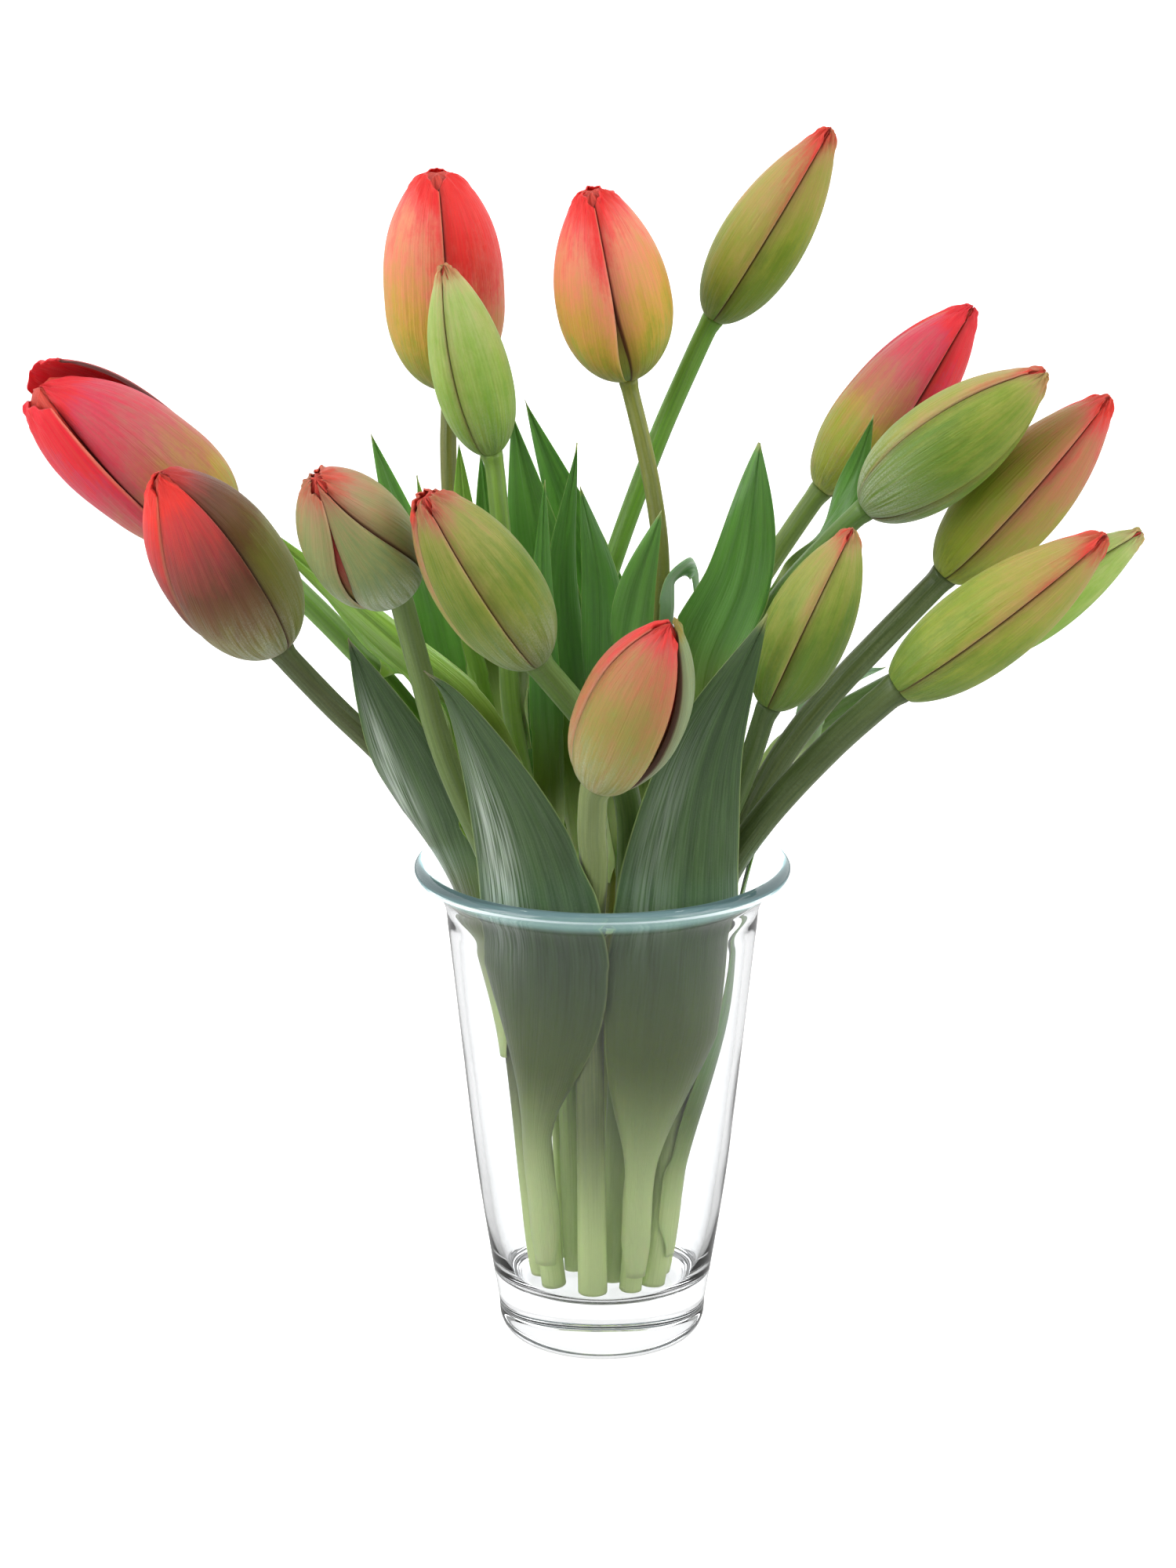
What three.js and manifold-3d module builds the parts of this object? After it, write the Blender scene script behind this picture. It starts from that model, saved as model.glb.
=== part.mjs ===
// Fifteen tulips in bud, with their leaves, standing in a tapered clear glass vase.
// Millimetres, +Z up, -Y towards the viewer. The origin is the centre of the vase's flat underside.
import * as THREE from "three";
import { mergeVertices } from "three/addons/utils/BufferGeometryUtils.js";
import Module from "manifold-3d";

const wasm = await Module();
wasm.setup();

// ---- Driving dimensions -------------------------------------------------------------------

const VASE_HEIGHT = 160;
const VASE_FLOOR = 20; // top of the thick glass floor
const VASE_SIDES = 36;

const GAP = 0.35; // clearance between neighbouring pieces
const FOOT_CLEARANCE = 0.9; // a leaning stem's cut end, from its centre to the floor
const NECK_HEIGHT = 150; // where the bundle of stems is at its widest inside the vase
const FOOT_SCALE = 0.5; // the bundle's width on the floor, as a part of its width at the neck
const FOOT_SHIFT = [-1, -6]; // the feet stand a little towards the viewer

const STEM_SIDES = 7;
const STEM_STEPS = 12;
const STEM_CURVE_END = 12; // the stem's last stretch, about in line with its bud
const STEM_END = 4; // and the very last of it, exactly in line
const STEM_STRETCHES = 16; // a stem is evened out between this many stretches
const STEM_PASSES = 2; // this many times

const BUD_WIDEST = 0.38; // of the bud's length, from its base
const BUD_RINGS = 8;
const TEPAL_ACROSS = 5;
const TEPAL_LIFT = 0.9; // one edge of each outer tepal stands this far out
const TEPAL_TUCK = 0.3; // and its other edge this far in
const SEAM_DEPTH = 1.3; // the inner tepals lie this far below the outer ones
const SEAM_TURN = 2; // degrees from a seam's middle to the edge of a tepal
const GAP_REACH = 0.25; // of the bud's length: a gap in a seam fades over this much
const TIP_DROP = 0.06; // of the bud's length: a tepal's corners end this far below its point
const TIP_RADIUS = 0.8; // each tepal's point lies this far from the bud's axis
const STEM_SEAT = 1.35; // a bud's base is this much wider than its stem
const LOOSE_THICKNESS = 1; // a tepal that stands off its bud

const LEAF_THICKNESS = 0.9;
const LEAF_ALONG = 12;
const SHEATH_LENGTH = 12; // a leaf's base usually lies along its stem this far
const SHEATH_GAP = 0.7;
const SHEATH_TURN = 1.6; // radians that the sheath reaches round the stem, each way
const STEM_ROOM = 1.2; // a blade keeps this far off the stems it passes
const WALL_ROOM = 1.6; // and this far off the glass

// Each tulip: where its stem passes the vase's neck, the points it bends through, its bud from
// base to tip, and the radius of stem and bud. A fuller bud is blunter. The seams between its
// three outer tepals are turns from the viewer at the base, and drift by so much up to the tip.
// Each tepal may gape at its tip, and one seam may have a gap.
const TULIPS = [
  { neck: [-21, 27], bend: [[-38, 42, 212], [-51, 53, 268]], base: [-49.8, 62, 301], tip: [-52.6, 52, 372],
    stem: 2.7, bud: 18.8, full: 2.8, seams: [4, 124, 244], gape: [3.6, 3.6, 3.6], skin: "red" },
  { neck: [-16, 4], bend: [[-28, 12, 192], [-31, 22, 240]], base: [-35.5, 32, 286], tip: [-49.5, 22, 347],
    stem: 3.1, bud: 12.1, full: 2.1, seams: [-30, 90, 210], skin: "green" },
  { neck: [4, 10], bend: [[19, 15, 232], [19, 22, 264]], base: [8, 35, 309], tip: [-3.6, 22, 370],
    stem: 2.7, bud: 17.8, full: 2.15, seams: [0, 120, 240], gape: [3, 3, 3],
    gap: { seam: 0, wide: 7, at: 0.1 }, skin: "red" },
  { neck: [-4, 33], bend: [[-8, 36, 208], [6, 41, 256]], base: [36, 54, 325.5], tip: [71.3, 37, 387.4],
    stem: 3.2, bud: 13.2, full: 1.95, seams: [-3, 117, 237], skin: "green" },
  { neck: [14, 34], bend: [[32, 36, 208]], base: [71, 42, 272], tip: [117, 33, 332],
    stem: 3.4, bud: 14.7, full: 2.4, seams: [-105, 34, 150], drift: [0, -36, 0], skin: "red" },
  { neck: [16, 18], bend: [[44, 18, 224]], base: [82, -4, 275], tip: [134.4, -20, 320.4],
    stem: 3.4, bud: 15.2, full: 2.2, seams: [-58, 22, 160], drift: [-2, 50, 0], skin: "green" },
  { neck: [38, 0], bend: [[57.4, 0, 197], [81.6, 4, 224.5]], base: [108.5, 10, 251.4], tip: [155.6, -7, 310.6],
    stem: 4.1, bud: 14.9, full: 2.05, seams: [-3, 117, 237], skin: "tan" },
  { neck: [33, -18], bend: [[46, -24, 176], [68, -41, 207]], base: [89, -62, 233], tip: [147, -76, 282],
    stem: 4.5, bud: 13.5, full: 2.1, seams: [-4, 116, 236], skin: "green" },
  { neck: [32, 16], bend: [[50.2, 13, 187], [78.5, 14, 207]], base: [112, 17, 224], tip: [171.6, 24, 261.4],
    stem: 3.6, bud: 12, full: 1.9, seams: [-20, 100, 220], skin: "green" },
  { neck: [20, -29], bend: [[42, -32, 188]], base: [51, -38, 221], tip: [75, -44, 277],
    stem: 3.4, bud: 12.8, full: 2.1, seams: [-12, 108, 228], skin: "green" },
  { neck: [-4, -33], bend: [[-2, -49, 178]], base: [-1.4, -68, 204.5], tip: [19.5, -90, 259],
    stem: 4.4, bud: 15.2, full: 2.6, seams: [-75, 45, 165], loose: { tepal: 1, by: 1.4, rise: 1.08 }, skin: "tan" },
  { neck: [8, -13], bend: [[7, -32, 198]], base: [-20.6, -55, 240], tip: [-52, -82, 295],
    stem: 4.2, bud: 15, full: 2.2, seams: [-6, 115, 285], gape: [2.2, 2.2, 2.2], skin: "green" },
  { neck: [-29, -22], bend: [[-46, -35, 195], [-55, -41, 226]], base: [-62.7, -46, 258.4], tip: [-83.5, -82, 300],
    stem: 3.7, bud: 16, full: 2.4, seams: [-56, 68, 185], drift: [48, -58, 0], gape: [1.6, 1.6, 1.6],
    gap: { seam: 0, wide: 6, at: 0.5 }, skin: "green" },
  { neck: [-37, -4], bend: [[-58, -11, 187], [-78, -17, 209]], base: [-99.7, -28, 237], tip: [-132, -54, 296],
    stem: 3.8, bud: 18.8, full: 2.6, seams: [-95, 24, 150], drift: [65, 12, 0], gape: [0.8, 0.8, 0.8], skin: "tan" },
  { neck: [-33, 13], bend: [[-58, 7, 204], [-82, 5, 232]], base: [-117.5, 6, 266.2], tip: [-172, -15, 315],
    stem: 3.8, bud: 18.6, full: 2.9, seams: [-40, 100, 215], drift: [37, 0, 0], gape: [0.5, 6, 6],
    loose: { tepal: 1, by: 1.5, rise: 1.03 }, skin: "red" },
];

// Each leaf: its stem, the height of its base there and the side, as a turn about Z from +X, how
// far its base lies along the stem as a sheath if that is more than usual,
// the points that its midline passes, half its greatest width and where that is, the radius it
// is curled to, the way its back faces at the tip, and the waves of its edges.
const LEAVES = [
  { on: 13, at: 30, side: 245, hold: 44, way: [[-20, -40, 134], [-23, -45.5, 168], [-32, -54, 200], [-46, -58, 229]],
    tip: [-54, -56, 236], half: 21.5, widest: 0.5, curl: 40, face: 250, wave: 1.2, waves: 1.5 },
  { on: 14, at: 96, side: 190, way: [[-44, -10, 150], [-54, -18.5, 178], [-64, -28, 206]],
    tip: [-78, -31, 240], half: 14.5, widest: 0.55, curl: 34, face: 262, wave: 1, waves: 1 },
  { on: 10, at: 27, side: 290, hold: 34, way: [[23, -39, 134], [25, -44, 172], [31, -53, 210]],
    tip: [49, -59, 254], half: 22, widest: 0.48, curl: 40, face: 280, wave: 1.5, waves: 1.5 },
  { on: 6, at: 176, side: 300, way: [[32, 1, 222.5], [43, 2, 251]],
    tip: [49, 6, 293.5], half: 14, widest: 0.5, curl: 30, face: 285, wave: 2.2, waves: 1.5 },
  { on: 12, at: 152, side: 80, way: [[6, -12, 215], [10, -16, 250]],
    tip: [18, -18, 277], half: 9.5, widest: 0.55, curl: 20, face: 275, wave: 1, waves: 1.5 },
  { on: 3, at: 150, side: 200, way: [[0, 2, 215], [-1, 3, 250]],
    tip: [-7, 5, 280], half: 9, widest: 0.5, curl: 20, face: 265, wave: 1, waves: 1 },
  { on: 4, at: 136, side: 275, way: [[-10, 20, 205], [-13, 15, 248]],
    tip: [-8, 14, 292], half: 7.5, widest: 0.45, curl: 16, face: 285, wave: 0.8, waves: 1 },
  { on: 2, at: 140, side: 300, way: [[-17, -4, 200], [-19, -2, 245]],
    tip: [-18, 0, 283], half: 5, widest: 0.45, curl: 12, face: 260, wave: 0.6, waves: 1 },
  { on: 4, at: 84, side: 100, way: [[-12, 44, 170], [-19, 46, 235]],
    tip: [-29, 44, 297], half: 14, widest: 0.6, curl: 30, face: 80, wave: 1.6, waves: 1.5 },
  { on: 5, at: 92, side: 80, way: [[12, 46, 170], [-4, 56, 240]],
    tip: [-25, 57, 298], half: 12, widest: 0.55, curl: 30, face: 85, wave: 1.4, waves: 1.5 },
  { on: 1, at: 188, side: 300, way: [[-38, 34, 225], [-44, 38, 260]],
    tip: [-46, 40, 287], half: 6, widest: 0.45, curl: 14, face: 275, wave: 0.6, waves: 1 },
  { on: 2, at: 192, side: 60, way: [[-28, 27, 228], [-36, 34, 260]],
    tip: [-39, 37, 284], half: 6.5, widest: 0.5, curl: 16, face: 100, wave: 0.8, waves: 1 },
  { on: 15, at: 140, side: 75, way: [[-46, 21, 190], [-60, 21, 252]],
    tip: [-73, 20, 294], half: 9, widest: 0.5, curl: 24, face: 100, wave: 1.2, waves: 1.5 },
  { on: 1, at: 146, side: 200, way: [[-42, 29, 205], [-54, 27, 250]],
    tip: [-59, 27, 279], half: 8, widest: 0.5, curl: 22, face: 255, wave: 1, waves: 1.5 },
  { on: 2, at: 160, side: 230, way: [[-38, -9, 208], [-66, -15, 236], [-90, -16, 258]],
    tip: [-112, -15, 277], half: 6, widest: 0.4, curl: 14, face: 285, wave: 0.8, waves: 1.5 },
  { on: 14, at: 170, side: 80, way: [[-55, -1, 208], [-74, -2, 236]],
    tip: [-94, -3, 257], half: 6.5, widest: 0.45, curl: 16, face: 290, wave: 0.8, waves: 1.5 },
  { on: 6, at: 230, side: 70, way: [[62, 22, 250], [78, 21, 277]],
    tip: [85, 18, 300], half: 5.5, widest: 0.5, curl: 16, face: 280, wave: 0.6, waves: 1 },
  { on: 3, at: 206, side: 350, way: [[22, 18, 246], [29, 21, 250]],
    tip: [30, 22, 232], half: 4.5, widest: 0.5, curl: 8, face: 350, wave: 0.4, waves: 1 },
  { on: 9, at: 186, side: 260, way: [[68, 15, 207.5], [80, 14, 216.5]],
    tip: [90, 12, 220], half: 4.5, widest: 0.4, curl: 10, face: 270, wave: 0.4, waves: 1 },
  { on: 8, at: 32, side: 350, hold: 30, way: [[40, -6, 110], [44, -3, 145]],
    tip: [51, 6, 171], half: 10, widest: 0.45, curl: 26, face: 350, wave: 0.8, waves: 1 },
];

// ---- Materials ------------------------------------------------------------------------------

const glass = new THREE.MeshStandardMaterial({
  color: 0xe8f1f2, roughness: 0.03, metalness: 0, transparent: true, opacity: 0.3,
});
const stemSkin = new THREE.MeshStandardMaterial({ color: 0x7c9440, roughness: 0.55, metalness: 0 });
const leafSkin = new THREE.MeshStandardMaterial({ color: 0x4c6a4c, roughness: 0.5, metalness: 0 });
const budSkins = {
  red: new THREE.MeshStandardMaterial({ color: 0xc8504a, roughness: 0.5, metalness: 0 }),
  tan: new THREE.MeshStandardMaterial({ color: 0xa97b58, roughness: 0.5, metalness: 0 }),
  green: new THREE.MeshStandardMaterial({ color: 0x8a9a4e, roughness: 0.5, metalness: 0 }),
};

// ---- Closed solids --------------------------------------------------------------------------

const smooth = (t) => {
  const s = Math.min(Math.max(t, 0), 1);
  return s * s * (3 - 2 * s);
};

function asSolid(geometry) {
  const bare = geometry.clone();
  bare.deleteAttribute("normal");
  bare.deleteAttribute("uv");
  const merged = mergeVertices(bare, 1e-4);
  const mesh = new wasm.Mesh({
    numProp: 3,
    vertProperties: new Float32Array(merged.attributes.position.array),
    triVerts: new Uint32Array(merged.index.array),
  });
  return new wasm.Manifold(mesh);
}

function asGeometry(solid) {
  const mesh = solid.getMesh();
  const geometry = new THREE.BufferGeometry();
  geometry.setAttribute("position", new THREE.BufferAttribute(new Float32Array(mesh.vertProperties), 3));
  geometry.setIndex(Array.from(mesh.triVerts));
  return geometry;
}

function isInsideOut(points, faces) {
  let volume = 0;
  for (let f = 0; f < faces.length; f += 3) {
    const [a, b, c] = [points[faces[f]], points[faces[f + 1]], points[faces[f + 2]]];
    volume += a.dot(b.clone().cross(c));
  }
  return volume < 0;
}

// A closed slab between two grids of points. Both faces are split along the same diagonals,
// so the slab keeps its thickness where it is waved.
function slab(along, across, top, bottom) {
  const row = across + 1;
  const sheet = (along + 1) * row;
  const points = [];
  for (const side of [top, bottom]) {
    for (let i = 0; i <= along; i++) {
      for (let j = 0; j <= across; j++) points.push(side(i / along, (2 * j) / across - 1));
    }
  }
  const faces = [];
  const quad = (a, b, c, d) => faces.push(a, b, c, a, c, d);
  for (let i = 0; i < along; i++) {
    for (let j = 0; j < across; j++) {
      const k = i * row + j;
      faces.push(k, k + row, k + row + 1, k, k + row + 1, k + 1);
      faces.push(sheet + k, sheet + k + row + 1, sheet + k + row, sheet + k, sheet + k + 1, sheet + k + row + 1);
    }
  }
  for (let i = 0; i < along; i++) {
    const near = i * row;
    const far = near + across;
    quad(near, sheet + near, sheet + near + row, near + row);
    quad(far, far + row, sheet + far + row, sheet + far);
  }
  for (let j = 0; j < across; j++) {
    const last = along * row + j;
    quad(j, j + 1, sheet + j + 1, sheet + j);
    quad(last, sheet + last, sheet + last + 1, last + 1);
  }
  if (isInsideOut(points, faces)) faces.reverse();
  const geometry = new THREE.BufferGeometry();
  geometry.setFromPoints(points);
  geometry.setIndex(faces);
  return geometry;
}

// ---- Vase -----------------------------------------------------------------------------------

// Outside from the underside's centre up to the rolled rim, then down the inside to the floor.
const VASE_OUTSIDE = [
  [0, 0], [28.5, 0], [31.4, 1.6], [33.2, 5], [33.8, 11], [35.6, 22], [40.4, 54], [45.2, 98],
  [49.4, 138], [50.4, 146], [52.6, 150.5], [56.4, 154], [59.2, 156], [60, 158],
];
const VASE_INSIDE = [
  [58.8, 159.6], [57, VASE_HEIGHT], [55, 158.6], [51.6, 154], [48.6, 149.5], [47.4, 144],
  [42.6, 98], [37.6, 54], [33.2, 28], [31, 22], [28, VASE_FLOOR], [0, VASE_FLOOR],
];

function vaseGeometry() {
  const outline = [...VASE_OUTSIDE, ...VASE_INSIDE].map(([r, z]) => new THREE.Vector2(r, z));
  const geometry = new THREE.LatheGeometry(outline, VASE_SIDES);
  geometry.rotateX(Math.PI / 2);
  return geometry;
}

// Radius of the inside of the glass at a height, by straight stretches between the profile's points.
function insideRadius(z) {
  for (let k = 0; k + 1 < VASE_INSIDE.length; k++) {
    const [[r1, z1], [r0, z0]] = [VASE_INSIDE[k], VASE_INSIDE[k + 1]];
    if (z >= z0 && z < z1) return r0 + ((r1 - r0) * (z - z0)) / (z1 - z0);
  }
  return Infinity;
}

// ---- Stems ----------------------------------------------------------------------------------

const vector = (xyz) => new THREE.Vector3(...xyz);

function stemCurve(tulip) {
  const [x, y] = tulip.neck;
  const foot = new THREE.Vector3(
    x * FOOT_SCALE + FOOT_SHIFT[0], y * FOOT_SCALE + FOOT_SHIFT[1], VASE_FLOOR + FOOT_CLEARANCE,
  );
  const base = vector(tulip.base);
  const down = base.clone().sub(vector(tulip.tip)).normalize();
  const points = [
    foot,
    new THREE.Vector3(x, y, NECK_HEIGHT),
    ...tulip.bend.map(vector),
    base.clone().addScaledVector(down, STEM_CURVE_END),
    base.clone().addScaledVector(down, GAP),
  ];
  const rough = new THREE.CatmullRomCurve3(points, false, "centripetal");
  let line = rough.getSpacedPoints(STEM_STRETCHES);
  for (let pass = 0; pass < STEM_PASSES; pass++) line = line.map((point, k) => evened(line, point, k));
  line.splice(-1, 0, base.clone().addScaledVector(down, STEM_END));
  return new THREE.CatmullRomCurve3(line, false, "centripetal");
}

// A point of a line, moved halfway to the middle of its neighbours. The ends stay.
function evened(line, point, k) {
  if (k === 0 || k === line.length - 1) return point;
  const middle = line[k - 1].clone().add(line[k + 1]).multiplyScalar(0.5);
  return point.clone().lerp(middle, 0.5);
}

function stemGeometry(tulip) {
  const section = [];
  for (let k = 0; k < STEM_SIDES; k++) {
    const turn = (2 * Math.PI * k) / STEM_SIDES;
    section.push(new THREE.Vector2(tulip.stem * Math.cos(turn), tulip.stem * Math.sin(turn)));
  }
  return new THREE.ExtrudeGeometry(new THREE.Shape(section), {
    steps: STEM_STEPS, extrudePath: tulip.curve, bevelEnabled: false,
  });
}

// ---- Buds -----------------------------------------------------------------------------------

// A closed bud's radius along its length, as a part of its greatest: an ellipse up to the widest
// place, from where the stem enters, and above it a dome that draws to a point. A fuller bud's
// dome stays wide for longer.
function budProfile(t, start, full) {
  if (t < BUD_WIDEST) {
    const below = (BUD_WIDEST - Math.max(t, 0)) / BUD_WIDEST;
    return Math.sqrt(1 - below * below * (1 - start * start));
  }
  const above = Math.min((t - BUD_WIDEST) / (1 - BUD_WIDEST), 1);
  return Math.pow(1 - Math.pow(above, full), 0.9);
}

// The bud's own axes: up along it, towards the viewer, and across.
function budAxes(tulip) {
  const base = vector(tulip.base);
  const up = vector(tulip.tip).sub(base);
  const length = up.length();
  up.normalize();
  const viewer = new THREE.Vector3(0, -1, 0);
  viewer.addScaledVector(up, -viewer.dot(up)).normalize();
  return { base, up, length, viewer, across: up.clone().cross(viewer) };
}

function budPoint(axes, turn, radius, height) {
  return axes.base.clone()
    .addScaledVector(axes.up, height)
    .addScaledVector(axes.viewer, radius * Math.cos(turn))
    .addScaledVector(axes.across, radius * Math.sin(turn));
}

// Seam k of a bud, part of the way along it: its turn from the viewer in degrees, and how far the
// tepals on both sides stand back from it. Tepal k lies between seam k and seam k + 1.
function seamAt(tulip, k, t) {
  const drift = tulip.drift ? tulip.drift[k % 3] * t : 0;
  const turn = tulip.seams[k % 3] + drift + (k > 2 ? 360 : 0);
  const { gap } = tulip;
  if (!gap || gap.seam !== k % 3) return { turn, apart: SEAM_TURN };
  const fade = (t - gap.at) / GAP_REACH;
  return { turn, apart: SEAM_TURN + gap.wide * Math.exp(-fade * fade) };
}

// One outer tepal's surface. Its edges end lower than its point, and the edge at v = 1 stands
// proud while the other is tucked in.
function tepalPoint(tulip, axes, k, u, v) {
  const t = u * (1 - TIP_DROP * Math.pow(u, 4) * v * v);
  const start = (STEM_SEAT * tulip.stem) / tulip.bud;
  const lift = v > 0 ? TEPAL_LIFT : TEPAL_TUCK;
  const gape = (tulip.gape ? tulip.gape[k] : 0) * Math.pow(t, 4);
  const [first, second] = [seamAt(tulip, k, t), seamAt(tulip, k + 1, t)];
  const [from, to] = [first.turn + first.apart, second.turn - second.apart];
  const turn = from + ((v + 1) / 2) * (to - from);
  const radius = tulip.bud * budProfile(t, start, tulip.full) + v * lift * smooth(5 * t) + gape + TIP_RADIUS * t;
  return { turn: THREE.MathUtils.degToRad(turn), radius, height: t * axes.length };
}

// A closed bud is one skin of rings: three outer tepals side by side, with the inner ones seen
// at the bottom of the seam between each two.
function budBody(tulip, axes) {
  const columns = 3 * (TEPAL_ACROSS + 2);
  const points = [];
  for (let i = 0; i <= BUD_RINGS; i++) {
    const u = i / BUD_RINGS;
    const depth = SEAM_DEPTH * smooth(5 * u);
    for (let k = 0; k < 3; k++) {
      const isLoose = tulip.loose && tulip.loose.tepal === k;
      for (let j = 0; j <= TEPAL_ACROSS; j++) {
        const { turn, radius, height } = tepalPoint(tulip, axes, k, u, (2 * j) / TEPAL_ACROSS - 1);
        points.push(budPoint(axes, turn, isLoose ? Math.max(radius - depth, 0.5) : radius, height));
      }
      const seam = tepalPoint(tulip, axes, k, u, 1);
      const middle = THREE.MathUtils.degToRad(seamAt(tulip, k + 1, seam.height / axes.length).turn);
      points.push(budPoint(axes, middle, Math.max(seam.radius - depth - TEPAL_LIFT, 0.5), seam.height));
    }
  }
  const faces = [];
  for (let i = 0; i < BUD_RINGS; i++) {
    for (let j = 0; j < columns; j++) {
      const next = (j + 1) % columns;
      const [a, b] = [i * columns + j, i * columns + next];
      faces.push(a, b, b + columns, a, b + columns, a + columns);
    }
  }
  const bottom = points.push(budPoint(axes, 0, 0, 0)) - 1;
  const top = points.push(budPoint(axes, 0, 0, axes.length * (1 - 1.6 * TIP_DROP))) - 1;
  for (let j = 0; j < columns; j++) {
    const next = (j + 1) % columns;
    faces.push(bottom, next, j);
    faces.push(top, BUD_RINGS * columns + j, BUD_RINGS * columns + next);
  }
  if (isInsideOut(points, faces)) faces.reverse();
  const geometry = new THREE.BufferGeometry();
  geometry.setFromPoints(points);
  geometry.setIndex(faces);
  return geometry;
}

function budGeometry(tulip) {
  const axes = budAxes(tulip);
  const body = budBody(tulip, axes);
  if (!tulip.loose) return body;

  // A loose tepal springs from inside the bud's base, bows out and stands above its point.
  const { tepal, by, rise } = tulip.loose;
  const at = (u, v, depth) => {
    const { turn, radius, height } = tepalPoint(tulip, axes, tepal, u, 0.85 * v);
    const bow = by * Math.sin(Math.PI * Math.min(1, 1.1 * u)) + 2 * u - 1;
    return budPoint(axes, turn, Math.max(radius + bow - depth, 0.6), height * (1 + (rise - 1) * u) + 1);
  };
  const loose = slab(BUD_RINGS, TEPAL_ACROSS, (u, v) => at(u, v, 0), (u, v) => at(u, v, LOOSE_THICKNESS));
  return asGeometry(asSolid(body).add(asSolid(loose)));
}

// ---- Leaves ---------------------------------------------------------------------------------

// The point of a curve at a height, found by halving.
function atHeight(curve, z) {
  let [low, high] = [0, 1];
  for (let k = 0; k < 30; k++) {
    const middle = (low + high) / 2;
    if (curve.getPoint(middle).z < z) low = middle;
    else high = middle;
  }
  return curve.getPoint(low);
}

// How far a point must move along a direction to stand clear of every stem that it passes.
function clearOfStems(point, outward, stems) {
  let move = 0;
  for (const { line, room } of stems) {
    for (let k = 0; k + 1 < line.length; k++) {
      const run = line[k + 1].clone().sub(line[k]);
      const share = Math.min(Math.max(point.clone().sub(line[k]).dot(run) / run.lengthSq(), 0), 1);
      const away = point.clone().sub(line[k].clone().addScaledVector(run, share));
      const ahead = away.dot(outward);
      const aside = away.lengthSq() - ahead * ahead;
      if (aside < room * room && ahead > -room) {
        move = Math.max(move, Math.sqrt(room * room - aside) - ahead);
      }
    }
  }
  return move;
}

function leafGeometry(leaf, stems) {
  const tulip = TULIPS[leaf.on - 1];
  const azimuth = THREE.MathUtils.degToRad(leaf.side);
  const tipAzimuth = THREE.MathUtils.degToRad(leaf.face);
  const outward = new THREE.Vector3(Math.cos(azimuth), Math.sin(azimuth), 0);
  const sheath = tulip.stem + SHEATH_GAP + LEAF_THICKNESS / 2;
  const hold = leaf.hold || SHEATH_LENGTH;
  const onStem = (share) => (
    atHeight(tulip.curve, leaf.at + share * hold).addScaledVector(outward, sheath + 0.4 * share)
  );
  const spine = new THREE.CatmullRomCurve3([
    onStem(0),
    onStem(0.5),
    onStem(1),
    ...leaf.way.map(vector),
    vector(leaf.tip),
  ], false, "centripetal");

  const passed = stems.map(({ number, line, radius }) => (
    { line, room: number === leaf.on ? sheath : radius + STEM_ROOM }
  ));

  const held = hold / spine.getLength();
  const halfWidth = (t) => {
    const foot = SHEATH_TURN * sheath;
    const grown = Math.max(t - held, 0) / (leaf.widest - held);
    if (t < leaf.widest) return foot + (leaf.half - foot) * Math.sin((Math.PI / 2) * grown);
    const rest = (t - leaf.widest) / (1 - leaf.widest);
    return leaf.half * Math.pow(1 - Math.pow(rest, 1.6), 1.1) + 0.5;
  };
  const curl = (t) => sheath + (leaf.curl - sheath) * smooth((t - held) / 0.35);

  // A blade's cross-section is an arc that opens from the sheath's radius to the leaf's curl.
  const at = (t, v, offset) => {
    const along = spine.getTangentAt(t);
    const turn = azimuth + (tipAzimuth - azimuth) * smooth(t);
    const back = new THREE.Vector3(Math.cos(turn), Math.sin(turn), 0);
    back.addScaledVector(along, -back.dot(along)).normalize();
    const across = along.clone().cross(back);
    const radius = curl(t);
    const bend = (v * halfWidth(t)) / radius;
    const ripple = leaf.wave * v * v * Math.sin(2 * Math.PI * leaf.waves * t + (v > 0 ? 0 : 2)) * smooth(2.5 * t);
    const point = spine.getPointAt(t)
      .addScaledVector(across, radius * Math.sin(bend))
      .addScaledVector(back, ripple - radius * (1 - Math.cos(bend)));
    point.addScaledVector(back, clearOfStems(point, back, passed));
    const reach = Math.hypot(point.x, point.y);
    const limit = insideRadius(point.z) - WALL_ROOM;
    if (reach > limit) {
      point.x *= limit / reach;
      point.y *= limit / reach;
    }
    return point
      .addScaledVector(back, offset * Math.cos(bend))
      .addScaledVector(across, offset * Math.sin(bend));
  };
  const [rows, across] = leaf.half > 12 ? [LEAF_ALONG + 3, 6] : [LEAF_ALONG, 4];
  const half = LEAF_THICKNESS / 2;
  return slab(rows, across, (u, v) => at(u, v, half), (u, v) => at(u, v, -half));
}

// ---- The object -----------------------------------------------------------------------------

const bouquet = new THREE.Group();

function place(name, geometry, material) {
  const mesh = new THREE.Mesh(geometry, material);
  mesh.name = name;
  bouquet.add(mesh);
}

const numbered = (word, k) => `${word}_${String(k + 1).padStart(2, "0")}`;

place("vase", vaseGeometry(), glass);

for (const tulip of TULIPS) tulip.curve = stemCurve(tulip);
TULIPS.forEach((tulip, k) => {
  place(numbered("stem", k), stemGeometry(tulip), stemSkin);
  place(numbered("bud", k), budGeometry(tulip), budSkins[tulip.skin]);
});

const stems = TULIPS.map((tulip, k) => ({
  number: k + 1, line: tulip.curve.getSpacedPoints(24), radius: tulip.stem,
}));
LEAVES.forEach((leaf, k) => place(numbered("leaf", k), leafGeometry(leaf, stems), leafSkin));

export default bouquet;
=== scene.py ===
import math
from collections import namedtuple

import bpy
import numpy as np
from mathutils import Matrix, Vector


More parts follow.
